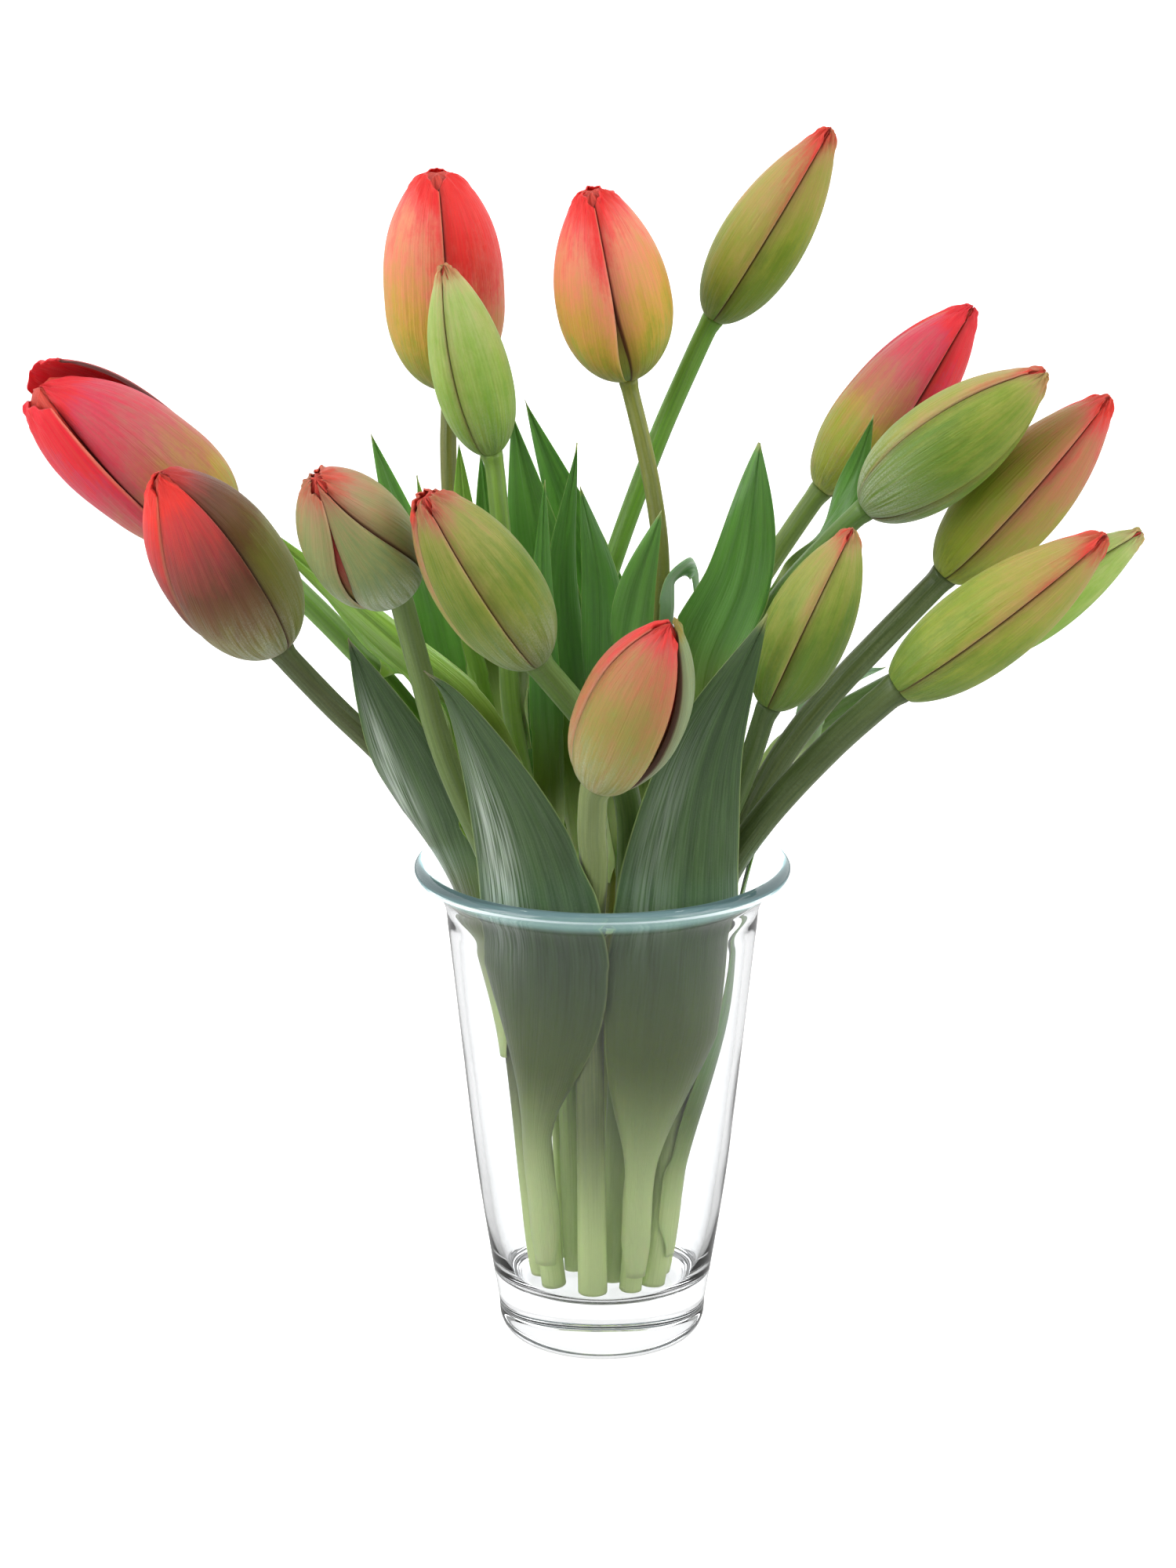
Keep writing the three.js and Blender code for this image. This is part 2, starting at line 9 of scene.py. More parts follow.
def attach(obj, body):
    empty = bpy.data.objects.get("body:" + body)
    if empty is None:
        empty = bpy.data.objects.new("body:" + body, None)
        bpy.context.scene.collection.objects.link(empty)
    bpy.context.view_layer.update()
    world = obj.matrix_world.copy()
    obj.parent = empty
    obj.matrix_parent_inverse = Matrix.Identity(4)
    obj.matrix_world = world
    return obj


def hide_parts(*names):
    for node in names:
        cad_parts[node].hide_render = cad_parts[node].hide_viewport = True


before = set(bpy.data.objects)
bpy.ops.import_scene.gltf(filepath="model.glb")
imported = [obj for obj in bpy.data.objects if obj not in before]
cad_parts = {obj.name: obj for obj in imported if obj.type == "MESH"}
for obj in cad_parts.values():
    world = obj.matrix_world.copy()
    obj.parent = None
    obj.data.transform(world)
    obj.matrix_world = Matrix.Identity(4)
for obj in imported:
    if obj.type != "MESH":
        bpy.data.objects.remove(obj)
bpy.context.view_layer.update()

MM = 0.001

# ---- Sizes and places, as in the solids ----

VASE_FLOOR = 20
FOOT_CLEARANCE = 0.9
NECK_HEIGHT = 150
FOOT_SCALE = 0.5
FOOT_SHIFT = (-1, -6)
STEM_CURVE_END = 12
STEM_END = 4
STEM_STRETCHES = 16
STEM_PASSES = 2
BUD_GAP = 0.35
BUD_WIDEST = 0.38
STEM_SEAT = 1.35
TIP_DROP = 0.06
TIP_RADIUS = 0.8
GAP_REACH = 0.25
SHEATH_LENGTH = 12
SHEATH_GAP = 0.7
SHEATH_TURN = 1.6
STEM_ROOM = 1.2
WALL_ROOM = 1.6
LEAF_THICKNESS = 0.9

VASE_OUTSIDE = [
    (0, 0), (28.5, 0), (31.4, 1.6), (33.2, 5), (33.8, 11), (35.6, 22), (40.4, 54), (45.2, 98),
    (49.4, 138), (50.4, 146), (52.6, 150.5), (56.4, 154), (59.2, 156), (60, 158),
]
VASE_INSIDE = [
    (58.8, 159.6), (57, 160), (55, 158.6), (51.6, 154), (48.6, 149.5), (47.4, 144),
    (42.6, 98), (37.6, 54), (33.2, 28), (31, 22), (28, VASE_FLOOR), (0, VASE_FLOOR),
]

# Each tulip, in this order: where its stem passes the vase's neck, the points it bends through, its
# bud's base and tip, the radius of stem and bud, how full the bud is, for a fuller one is blunter,
# and the seams between its three tepals, as turns from the viewer at the base. The seams may drift
# by so much up to the tip. Each tepal may gape at its tip, and one seam may have a gap. One tepal
# may be loose: it stands off in an arch, rises past the others, and flares out or in at its tip.
Tulip = namedtuple(
    "Tulip", "neck bend base tip stem bud full seams drift gape gap loose",
    defaults=((0, 0, 0), (0, 0, 0), None, None),
)
TULIPS = [
    Tulip((-21, 27), [(-38, 42, 212), (-51, 53, 268)], (-49.8, 62, 301), (-52.6, 52, 372), 2.7, 18.8, 2.8,
          (4, 124, 244), gape=(3.6, 3.6, 3.6)),
    Tulip((-16, 4), [(-28, 12, 192), (-31, 22, 240)], (-35.5, 32, 286), (-49.5, 22, 347), 3.1, 12.1, 2.1,
          (-30, 90, 210)),
    Tulip((4, 10), [(19, 15, 232), (19, 22, 264)], (8, 35, 309), (-3.6, 22, 370), 2.7, 17.8, 2.15,
          (0, 120, 240), gape=(3, 3, 3), gap=dict(seam=0, wide=7, at=0.1)),
    Tulip((-4, 33), [(-8, 36, 208), (6, 41, 256)], (36, 54, 325.5), (71.3, 37, 387.4), 3.2, 13.2, 1.95,
          (-3, 117, 237)),
    Tulip((14, 34), [(32, 36, 208)], (71, 42, 272), (117, 33, 332), 3.4, 14.7, 2.4, (-105, 34, 150),
          drift=(0, -36, 0)),
    Tulip((16, 18), [(44, 18, 224)], (82, -4, 275), (134.4, -20, 320.4), 3.4, 15.2, 2.2, (-58, 22, 160),
          drift=(-2, 50, 0)),
    Tulip((38, 0), [(57.4, 0, 197), (81.6, 4, 224.5)], (108.5, 10, 251.4), (155.6, -7, 310.6), 4.1, 14.9,
          2.05, (-3, 117, 237)),
    Tulip((33, -18), [(46, -24, 176), (68, -41, 207)], (89, -62, 233), (147, -76, 282), 4.5, 13.5, 2.1,
          (-4, 116, 236)),
    Tulip((32, 16), [(50.2, 13, 187), (78.5, 14, 207)], (112, 17, 224), (171.6, 24, 261.4), 3.6, 12, 1.9,
          (-20, 100, 220)),
    Tulip((20, -29), [(42, -32, 188)], (51, -38, 221), (75, -44, 277), 3.4, 12.8, 2.1, (-12, 108, 228)),
    Tulip((-4, -33), [(-2, -49, 178)], (-1.4, -68, 204.5), (19.5, -90, 259), 4.4, 15.2, 2.6, (-75, 45, 165),
          loose=dict(tepal=1, by=2, rise=1.02, flare=-1)),
    Tulip((8, -13), [(7, -32, 198)], (-20.6, -55, 240), (-52, -82, 295), 4.2, 15, 2.2, (-6, 115, 285),
          gape=(2.2, 2.2, 2.2)),
    Tulip((-29, -22), [(-46, -35, 195), (-55, -41, 226)], (-62.7, -46, 258.4), (-83.5, -82, 300), 3.7, 16,
          2.4, (-56, 68, 185), drift=(48, -58, 0), gape=(1.6, 1.6, 1.6), gap=dict(seam=0, wide=6, at=0.5)),
    Tulip((-37, -4), [(-58, -11, 187), (-78, -17, 209)], (-99.7, -28, 237), (-132, -54, 296), 3.8, 18.8, 2.6,
          (-95, 24, 150), drift=(65, 12, 0), gape=(0.8, 0.8, 0.8)),
    Tulip((-33, 13), [(-58, 7, 204), (-82, 5, 232)], (-117.5, 6, 266.2), (-172, -15, 315), 3.8, 18.6, 2.9,
          (-40, 100, 215), drift=(37, 0, 0), gape=(0.5, 6, 6),
          loose=dict(tepal=1, by=0.5, rise=1.03, flare=1)),
]

# Each leaf, in this order: its stem's number, the height of its base there and the side, as a turn
# about Z from +X, the points that its midline passes and its tip, half its greatest width and where
# that is, the radius it is curled to, the way its back faces at the tip, and how high and how many
# the waves of its edges are. Its base may hold on to the stem for longer than usual.
Leaf = namedtuple(
    "Leaf", "on at side way tip half widest curl face wave waves hold", defaults=[SHEATH_LENGTH],
)
LEAVES = [
    Leaf(13, 30, 245, [(-20, -40, 134), (-23, -45.5, 168), (-32, -54, 200), (-46, -58, 229)],
         (-54, -56, 236), 21.5, 0.5, 40, 250, 1.2, 1.5, hold=44),
    Leaf(14, 96, 190, [(-44, -10, 150), (-54, -18.5, 178), (-64, -28, 206)], (-78, -31, 240), 14.5, 0.55, 34,
         262, 1, 1),
    Leaf(10, 27, 290, [(23, -39, 134), (25, -44, 172), (31, -53, 210)], (49, -59, 254), 22, 0.48, 40, 280,
         1.5, 1.5, hold=34),
    Leaf(6, 176, 300, [(32, 1, 222.5), (43, 2, 251)], (49, 6, 293.5), 14, 0.5, 30, 285, 2.2, 1.5),
    Leaf(12, 152, 80, [(6, -12, 215), (10, -16, 250)], (18, -18, 277), 9.5, 0.55, 20, 275, 1, 1.5),
    Leaf(3, 150, 200, [(0, 2, 215), (-1, 3, 250)], (-7, 5, 280), 9, 0.5, 20, 265, 1, 1),
    Leaf(4, 136, 275, [(-10, 20, 205), (-13, 15, 248)], (-8, 14, 292), 7.5, 0.45, 16, 285, 0.8, 1),
    Leaf(2, 140, 300, [(-17, -4, 200), (-19, -2, 245)], (-18, 0, 283), 5, 0.45, 12, 260, 0.6, 1),
    Leaf(4, 84, 100, [(-12, 44, 170), (-19, 46, 235)], (-29, 44, 297), 14, 0.6, 30, 80, 1.6, 1.5),
    Leaf(5, 92, 80, [(12, 46, 170), (-4, 56, 240)], (-25, 57, 298), 12, 0.55, 30, 85, 1.4, 1.5),
    Leaf(1, 188, 300, [(-38, 34, 225), (-44, 38, 260)], (-46, 40, 287), 6, 0.45, 14, 275, 0.6, 1),
    Leaf(2, 192, 60, [(-28, 27, 228), (-36, 34, 260)], (-39, 37, 284), 6.5, 0.5, 16, 100, 0.8, 1),
    Leaf(15, 140, 75, [(-46, 21, 190), (-60, 21, 252)], (-73, 20, 294), 9, 0.5, 24, 100, 1.2, 1.5),
    Leaf(1, 146, 200, [(-42, 29, 205), (-54, 27, 250)], (-59, 27, 279), 8, 0.5, 22, 255, 1, 1.5),
    Leaf(2, 160, 230, [(-38, -9, 208), (-66, -15, 236), (-90, -16, 258)], (-112, -15, 277), 6, 0.4, 14, 285,
         0.8, 1.5),
    Leaf(14, 170, 80, [(-55, -1, 208), (-74, -2, 236)], (-94, -3, 257), 6.5, 0.45, 16, 290, 0.8, 1.5),
    Leaf(6, 230, 70, [(62, 22, 250), (78, 21, 277)], (85, 18, 300), 5.5, 0.5, 16, 280, 0.6, 1),
    Leaf(3, 206, 350, [(22, 18, 246), (29, 21, 250)], (30, 22, 232), 4.5, 0.5, 8, 350, 0.4, 1),
    Leaf(9, 186, 260, [(68, 15, 207.5), (80, 14, 216.5)], (90, 12, 220), 4.5, 0.4, 10, 270, 0.4, 1),
    Leaf(8, 32, 350, [(40, -6, 110), (44, -3, 145)], (51, 6, 171), 10, 0.45, 26, 350, 0.8, 1, hold=30),
]

# ---- Finishes of each piece ----

# Colours of a tepal from unripe to ripe, as hexadecimal display colours.
SCARLET = ["9aa02a", "c8a440", "dc9c58", "ee8e6c", "f25a54", "f0262c"]
ROSE = ["9ca42a", "b89848", "bc7858", "c85e62", "d83c58", "ea2238"]
TAN = ["94a02e", "a0983e", "b48a50", "c47858", "dc5650", "f03834"]
FROST = ["86986e", "948e44", "a8824c", "bc7050", "d0524e", "e83438"]
DUSK = ["7c7c34", "684e26", "683a2a", "963c3c", "c8363c", "ee2e2e"]
SAGE = ["708656", "86925a", "9a9060", "ac8462", "c2644e", "da4238"]
LIME = ["708c26", "8c9c34", "a49e48", "b49656", "c46c4c", "e4403a"]
PALE_GREEN = ["84ae3e", "9aba56", "b0c472", "c0bc7c", "cc8c62", "dc5440"]
MOSS = ["648628", "829838", "9ca24c", "b49c60", "c87258", "e4443c"]
OLIVE = ["607c22", "7a8a32", "949648", "aa8658", "bc604e", "da3c34"]

# Each bud, in this order: its colours, how ripe it is at its base and at its tip, where along it
# the change begins and ends, what its edges add, what each of its tepals adds, and its bloom at the
# base. Its colours may be less patchy than usual.
Look = namedtuple("Look", "skin ripe over edge each bloom mixed", defaults=[1])
BUD_LOOKS = [
    Look(SCARLET, (0.04, 0.78), (0.0, 0.9), 0.2, (0.26, 0.1, -0.08), 0.05),
    Look(PALE_GREEN, (0.06, 0.42), (0.1, 1.0), 0.04, (0, 0, 0), 0.3),
    Look(SCARLET, (0.04, 0.74), (0.05, 1.0), 0.36, (-0.04, 0, 0.02), 0.05),
    Look(LIME, (0.04, 0.6), (0.15, 1.0), 0.28, (-0.1, 0, 0.12), 0.1),
    Look(ROSE, (0.02, 0.86), (0.15, 0.95), 0.14, (0, 0.24, 0), 0.2),
    Look(MOSS, (0.02, 0.34), (0.3, 1.0), 0.26, (-0.06, -0.06, 0.2), 0.8),
    Look(TAN, (0.0, 0.56), (0.2, 1.0), 0.36, (0.14, 0.14, -0.06), 0.05),
    Look(LIME, (0.02, 0.54), (0.2, 1.0), 0.36, (0, 0, 0.06), 0.1),
    Look(PALE_GREEN, (0.0, 0.3), (0.3, 1.0), 0.1, (0, 0, 0), 0.1),
    Look(MOSS, (0.0, 0.4), (0.2, 1.0), 0.34, (-0.06, 0, 0.08), 0.1),
    Look(FROST, (0.22, 0.66), (0.3, 1.0), 0.16, (-0.02, -0.75, 0.16), 0.5),
    Look(OLIVE, (0.06, 0.4), (0.4, 1.0), 0.26, (0.02, 0.12, -0.02), 0.6),
    Look(SAGE, (0.06, 0.4), (0.35, 1.0), 0.16, (0, 0.14, -0.02), 1.4),
    Look(DUSK, (0.06, 0.86), (0.1, 1.0), 0.06, (0, -0.4, 0.12), 0.7, mixed=0.5),
    Look(ROSE, (0.14, 0.8), (0.0, 0.95), 0.26, (-0.02, 0.4, 0.16), 0.05),
]

# Each bud's slot in the record. Those of the others are green.
SLOT_OF_BUD = {1: "red", 3: "red", 5: "red", 15: "red", 7: "tan", 11: "tan", 14: "tan"}

STEM_COLOURS = [
    "78782a", "80a83a", "868a30", "6ca42a", "7a9440", "5e8434", "404e1c", "445420",
    "5c8034", "465e26", "7c8850", "608034", "6a8040", "4c522c", "6c9a38",
]

# Each leaf's colours: of the blade, of its shaded streaks and of its bloom. Then how much bloom it
# has, and how strong the painted highlight is, in pale streaks on its left side.
FRONT = ("365420", "223c16", "809c72", 0.35, 0.2)
# The two front leaves, with the strongest painted highlight on their left sides.
FRONT_PAINTED_HIGHLIGHT = ("36541f", "223c16", "8ea482", 0.35, 0.75)
MIDDLE = ("5a9434", "3c6e26", "8eb470", 0.3, 0)
BACK = ("66a43e", "42762a", "90ba6c", 0.25, 0)
DEEP = ("4e882e", "30601c", "729c56", 0.2, 0)
BRIGHT = ("9cc84a", "78a836", "c4dc94", 0.3, 0.2)
PALE = ("a8cca4", "8ab488", "dcead8", 0.6, 0.6)
LEAF_LOOKS = [
    FRONT_PAINTED_HIGHLIGHT, FRONT_PAINTED_HIGHLIGHT, FRONT, MIDDLE, MIDDLE, DEEP, DEEP, DEEP, BACK, BACK,
    BRIGHT, BACK, BACK, BRIGHT, BRIGHT, BRIGHT, MIDDLE, PALE, PALE, MIDDLE,
]
LEAF_TIPS = {1: "90866a", 2: "90866a"}  # the points of the others are yellowish

# ---- Shapes worked out on grids ----


def smooth(t):
    """Rises from 0 at t = 0 to 1 at t = 1, level at both ends: 3 t squared less 2 t cubed."""
    s = np.clip(t, 0, 1)
    return s * s * (3 - 2 * s)


def unit(vectors):
    """Each vector divided by its length."""
    return vectors / np.linalg.norm(vectors, axis=-1, keepdims=True)


def dot(a, b):
    """The dot product of each pair of vectors."""
    return np.sum(a * b, axis=-1)


def spline_through(points, per_stretch=60):
    """A dense line through the points: on each stretch a cubic whose end slopes come from the
    neighbouring points, spaced by the square roots of their distances, with a mirrored point
    beyond each end."""
    p = np.array(points, float)
    p = np.vstack([2 * p[0] - p[1], p, 2 * p[-1] - p[-2]])
    step = np.sqrt(np.linalg.norm(np.diff(p, axis=0), axis=1))[:, None]
    before, here, after = step[:-2], step[1:-1], step[2:]
    p0, p1, p2, p3 = p[:-3], p[1:-2], p[2:-1], p[3:]
    leave = ((p1 - p0) / before - (p2 - p0) / (before + here) + (p2 - p1) / here) * here
    arrive = ((p2 - p1) / here - (p3 - p1) / (here + after) + (p3 - p2) / after) * here
    t = np.linspace(0, 1, per_stretch, endpoint=False)[None, :, None]
    p1, p2, leave, arrive = (x[:, None, :] for x in (p1, p2, leave, arrive))
    line = (
        p1 + leave * t + (3 * (p2 - p1) - 2 * leave - arrive) * t ** 2
        + (2 * (p1 - p2) + leave + arrive) * t ** 3
    )
    return np.vstack([line.reshape(-1, p.shape[1]), p[-2]])


def at_shares(line, shares):
    """The points of a dense line at the given shares of its length."""
    run = np.concatenate([[0], np.cumsum(np.linalg.norm(np.diff(line, axis=0), axis=1))])
    wanted = np.asarray(shares) * run[-1]
    return np.stack([np.interp(wanted, run, column) for column in line.T], axis=-1)


def blur(grid, passes):
    """Evens out a grid of values: each becomes the mean of itself and its neighbours, several times."""
    for _ in range(passes):
        wide = np.pad(grid, 1, mode="edge")
        grid = (
            4 * wide[1:-1, 1:-1] + wide[:-2, 1:-1] + wide[2:, 1:-1] + wide[1:-1, :-2] + wide[1:-1, 2:]
        ) / 8
    return grid


def tube_faces(rows, columns):
    """Quads of a grid of rings that closes on itself, and fans to two poles, the last two points."""
    i, j = np.meshgrid(np.arange(rows - 1), np.arange(columns), indexing="ij")
    a = (i * columns + j).ravel()
    b = (i * columns + (j + 1) % columns).ravel()
    quads = np.stack([a, b, b + columns, a + columns], axis=-1)
    ring = np.arange(columns)
    after = (ring + 1) % columns
    end = (rows - 1) * columns
    first = np.full(columns, rows * columns)
    fans = np.concatenate([
        np.stack([first, after, ring], axis=-1),
        np.stack([first + 1, end + ring, end + after], axis=-1),
    ])
    return quads, fans


def slab_faces(rows, columns):
    """Quads of two sheets of rows by columns, one over the other, and of the rim round them."""
    i, j = np.meshgrid(np.arange(rows - 1), np.arange(columns - 1), indexing="ij")
    a = (i * columns + j).ravel()
    sheet = np.stack([a, a + 1, a + columns + 1, a + columns], axis=-1)
    size = rows * columns
    last = size - columns
    around = np.concatenate([
        np.arange(columns),
        np.arange(1, rows) * columns + columns - 1,
        last + np.arange(columns - 2, -1, -1),
        np.arange(rows - 2, 0, -1) * columns,
    ])
    after = np.roll(around, -1)
    rim = np.stack([after, around, around + size, after + size], axis=-1)
    return np.concatenate([sheet, sheet[:, ::-1] + size, rim])


def facing_out(points, quads, fans):
    """The faces, turned round if the solid that they close has a negative volume."""
    thirds = np.concatenate([quads[:, [0, 1, 2]], quads[:, [0, 2, 3]], fans])
    a, b, c = (points[thirds[:, k]] for k in range(3))
    if dot(a, np.cross(b, c)).sum() < 0:
        return quads[:, ::-1], fans[:, ::-1]
    return quads, fans


NO_FANS = np.zeros((0, 3), int)


class Solid:
    """Closed shells, each with its own points, faces and named fields, gathered into one mesh."""

    def __init__(self):
        self.points, self.quads, self.fans, self.fields = [], [], [], {}
        self.size = 0

    def add(self, points, quads, fans=NO_FANS, **fields):
        points = points.reshape(-1, 3)
        quads, fans = facing_out(points, quads, fans)
        self.points.append(points)
        self.quads.append(quads + self.size)
        self.fans.append(fans + self.size)
        for name, values in fields.items():
            self.fields.setdefault(name, []).append(values.reshape(len(points), -1))
        self.size += len(points)

    def add_slab(self, top, under, **fields):
        """The two faces of a sheet, with a rim round them. Each field is the same on both faces."""
        both = {name: np.stack([values, values]) for name, values in fields.items()}
        self.add(np.stack([top, under]), slab_faces(*top.shape[:2]), **both)

    def add_tube(self, rings, poles, **fields):
        """Rings, closed at both ends. Each field has its values on the rings and at the two poles."""
        closed = {}
        for name, (on_rings, at_poles) in fields.items():
            at_poles = np.reshape(at_poles, (2, -1))
            closed[name] = np.vstack([np.reshape(on_rings, (-1, at_poles.shape[1])), at_poles])
        self.add(np.vstack([rings.reshape(-1, 3), poles]), *tube_faces(*rings.shape[:2]), **closed)

    def piece(self, name, node, slot, material):
        """Makes the mesh object, which stands for a node of the solids."""
        points = np.concatenate(self.points) * MM
        quads = np.concatenate(self.quads)
        fans = np.concatenate(self.fans)
        mesh = bpy.data.meshes.new(name)
        mesh.vertices.add(len(points))
        mesh.vertices.foreach_set("co", points.astype(np.float32).ravel())
        mesh.loops.add(quads.size + fans.size)
        mesh.loops.foreach_set("vertex_index", np.concatenate([quads.ravel(), fans.ravel()]).astype(np.int32))
        mesh.polygons.add(len(quads) + len(fans))
        starts = np.concatenate([np.arange(len(quads)) * 4, quads.size + np.arange(len(fans)) * 3])
        mesh.polygons.foreach_set("loop_start", starts.astype(np.int32))
        mesh.update(calc_edges=True)
        mesh.shade_smooth()
        for field, values in self.fields.items():
            values = np.concatenate(values).astype(np.float32)
            kind, key = ("FLOAT_VECTOR", "vector") if values.shape[1] == 3 else ("FLOAT", "value")
            mesh.attributes.new(field, kind, "POINT").data.foreach_set(key, values.ravel())
        mesh.materials.append(material)
        piece = bpy.data.objects.new(name, mesh)
        bpy.context.scene.collection.objects.link(piece)
        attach(piece, "root")
        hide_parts(node)


# ---- Shader nodes ----


def colour(code):
    """A linear colour from six hexadecimal digits of display colour."""
    parts = [int(code[k:k + 2], 16) / 255 for k in (0, 2, 4)]
    return [c / 12.92 if c <= 0.04045 else ((c + 0.055) / 1.055) ** 2.4 for c in parts] + [1]


class Nodes:
    """Adds nodes to a tree. Its methods take sockets or plain values. Most return one output socket;
    fill_all, split, vector and group return all of the node's outputs."""

    def __init__(self, tree):
        self.tree = tree

    def fill(self, socket, value):
        if isinstance(value, bpy.types.NodeSocket):
            self.tree.links.new(value, socket)
        elif value is not None:
            socket.default_value = value

    def fill_all(self, node, values):
        """Fills the inputs that are named, and returns the node's outputs."""
        for name, value in values.items():
            self.fill(node.inputs[name], value)
        return node.outputs

    def add(self, kind, inputs=(), **settings):
        """A new node of a kind, with its settings and its first inputs."""
        node = self.tree.nodes.new(kind)
        for name, value in settings.items():
            setattr(node, name, value)
        for socket, value in zip(node.inputs, inputs):
            self.fill(socket, value)
        return node

    def field(self, name, output="Fac"):
        return self.add("ShaderNodeAttribute", attribute_name=name).outputs[output]

    def math(self, operation, *values, clamp=False):
        return self.add("ShaderNodeMath", values, operation=operation, use_clamp=clamp).outputs[0]

    def times(self, a, b, clamp=False):
        return self.math("MULTIPLY", a, b, clamp=clamp)

    def split(self, vector):
        """The X, Y and Z of a vector."""
        return self.add("ShaderNodeSeparateXYZ", [vector]).outputs

    def step(self, value, low, high):
        """0 where the value is at low, 1 where it is at high, smooth between."""
        inputs = (value, low, high, 0.0, 1.0)
        return self.add("ShaderNodeMapRange", inputs, interpolation_type="SMOOTHSTEP").outputs[0]

    def vector(self, operation, a, b=None):
        return self.add("ShaderNodeVectorMath", (a, b), operation=operation).outputs

    def noise(self, vector, stretch, detail, roughness=0.5, scale=1.0):
        """A smooth random pattern over a place whose sides are first stretched."""
        place = self.vector("MULTIPLY", vector, stretch)[0]
        values = {"Vector": place, "Scale": scale, "Detail": detail, "Roughness": roughness}
        return self.fill_all(self.add("ShaderNodeTexNoise"), values)[0]

    def mix(self, share, a, b):
        node = self.add("ShaderNodeMix", data_type="RGBA")
        for socket, value in zip((node.inputs[0], node.inputs[6], node.inputs[7]), (share, a, b)):
            self.fill(socket, value)
        return node.outputs[2]

    def tint(self, skin, mask, amount, code):
        """A skin, turned towards a colour by an amount of the mask."""
        return self.mix(self.times(mask, amount), skin, colour(code))

    def ramp(self, value, codes):
        """A colour from the codes, which are spread evenly over values from 0 to 1."""
        node = self.add("ShaderNodeValToRGB", [value])
        stops = node.color_ramp.elements
        while len(stops) < len(codes):
            stops.new(0.5)
        for k, code in enumerate(codes):
            stops[k].position = k / (len(codes) - 1)
            stops[k].color = colour(code)
        return node.outputs[0]

    def bump(self, height, distance, strength):
        values = {"Height": height, "Distance": distance, "Strength": strength}
        return self.fill_all(self.add("ShaderNodeBump"), values)[0]

    def group(self, tree, **values):
        return self.fill_all(self.add("ShaderNodeGroup", node_tree=tree), values)


def new_group(name, inputs, outputs):
    """An empty node group: the helper that adds nodes to it, what it is given and its results. Only
    Grain is a vector."""
    tree = bpy.data.node_groups.new(name, "ShaderNodeTree")
    for way, sockets in (("INPUT", inputs), ("OUTPUT", outputs)):
        for socket in sockets:
            kind = "NodeSocketVector" if socket == "Grain" else "NodeSocketFloat"
            tree.interface.new_socket(socket, in_out=way, socket_type=kind)
    nodes = Nodes(tree)
    return nodes, nodes.add("NodeGroupInput").outputs, nodes.add("NodeGroupOutput").inputs


def make_veins_group():
    """Fine veins that run along a piece. Grain is the place on the surface in millimetres: across,
    along, and a number that sets one piece apart from the next. Spacing is the veins' width in
    millimetres. Lines is the fine pattern, Bands a broad one, and Mottle small blotches."""
    nodes, given, result = new_group("veins", ("Grain", "Spacing"), ("Lines", "Bands", "Mottle"))
    each = nodes.math("DIVIDE", 1.0, given["Spacing"])
    patterns = {
        "Lines": nodes.noise(given["Grain"], (1, 0.022, 1), 2.0, 0.6, each),
        "Bands": nodes.noise(given["Grain"], (0.24, 0.012, 1), 2.0),
        "Mottle": nodes.noise(given["Grain"], (0.5, 0.16, 1), 4.0, 0.6),
    }
    for name, pattern in patterns.items():
        nodes.fill(result[name], nodes.step(pattern, 0.3, 0.7))
    return nodes.tree


def make_bloom_group():
    """The pale waxy bloom of a young plant: a share of Amount, broken up by streaks along the grain
    and by specks."""
    nodes, given, result = new_group("bloom", ("Grain", "Amount"), ("Mask",))
    streaks = nodes.noise(given["Grain"], (0.9, 0.05, 1), 3.0, 0.6)
    specks = nodes.noise(given["Grain"], (2.2, 1.4, 1), 3.0, 0.7)
    both = nodes.times(nodes.step(streaks, 0.25, 0.75), nodes.step(specks, 0.2, 0.7))
    nodes.fill(result["Mask"], nodes.times(both, given["Amount"], clamp=True))
    return nodes.tree


VEINS = make_veins_group()
BLOOM = make_bloom_group()


def new_material(name):
    """A material with one Principled shader, and the helper that adds nodes to it."""
    material = bpy.data.materials.new(name)
    material.use_nodes = True
    material.node_tree.nodes.clear()
    nodes = Nodes(material.node_tree)
    shader = nodes.add("ShaderNodeBsdfPrincipled")
    nodes.add("ShaderNodeOutputMaterial", [shader.outputs[0]])
    return material, shader, nodes


def set_tissue(nodes, shader, through, deep):
    """Constants of thin living tissue: some light goes through it, to a depth in metres for each of
    red, green and blue, and its skin has a faint sheen."""
    nodes.fill_all(shader, {
        "Subsurface Weight": through, "Subsurface Radius": deep, "Subsurface Scale": 1.0,
        "Sheen Weight": 0.05, "Sheen Roughness": 0.4, "IOR": 1.42,
    })


def set_surface(nodes, shader, skin, roughness, relief, distance, strength):
    """A skin's colour, its roughness, and its relief, as a bump of a distance in metres."""
    bump = nodes.bump(relief, distance, strength)
    nodes.fill_all(shader, {"Base Color": skin, "Roughness": roughness, "Normal": bump})


# ---- Vase ----

VASE_SIDES = 144
VASE_ROWS = 12  # between two points of its outline
RIM_FROM = 152  # the rolled rim, and its painted glow, begin at this height
RIM_BLEND = 4  # and its painted glow is full so much higher
POLE_RADIUS = 0.4  # of the smallest ring


def make_glass():
    """Clear pressed glass, with a very faint wave in its surface, and a painted teal glow in its
    rim, given off as emission.
    """
    material, shader, nodes = new_material("clear_glass")
    nodes.fill_all(shader, {"Transmission Weight": 1.0, "IOR": 1.5, "Emission Strength": 1.0})
    place = nodes.add("ShaderNodeTexCoord").outputs["Object"]
    wave = nodes.noise(place, (30, 30, 9), 2.0)
    set_surface(nodes, shader, (0.975, 0.985, 0.995, 1), 0.0, wave, 0.0006, 0.35)
    # Painted glow: teal emission in the rim, from RIM_FROM up.
    rim = nodes.step(nodes.split(place)["Z"], RIM_FROM * MM, (RIM_FROM + RIM_BLEND) * MM)
    nodes.fill(shader.inputs["Emission Color"], nodes.mix(rim, colour("000000"), colour("50686a")))
    return material


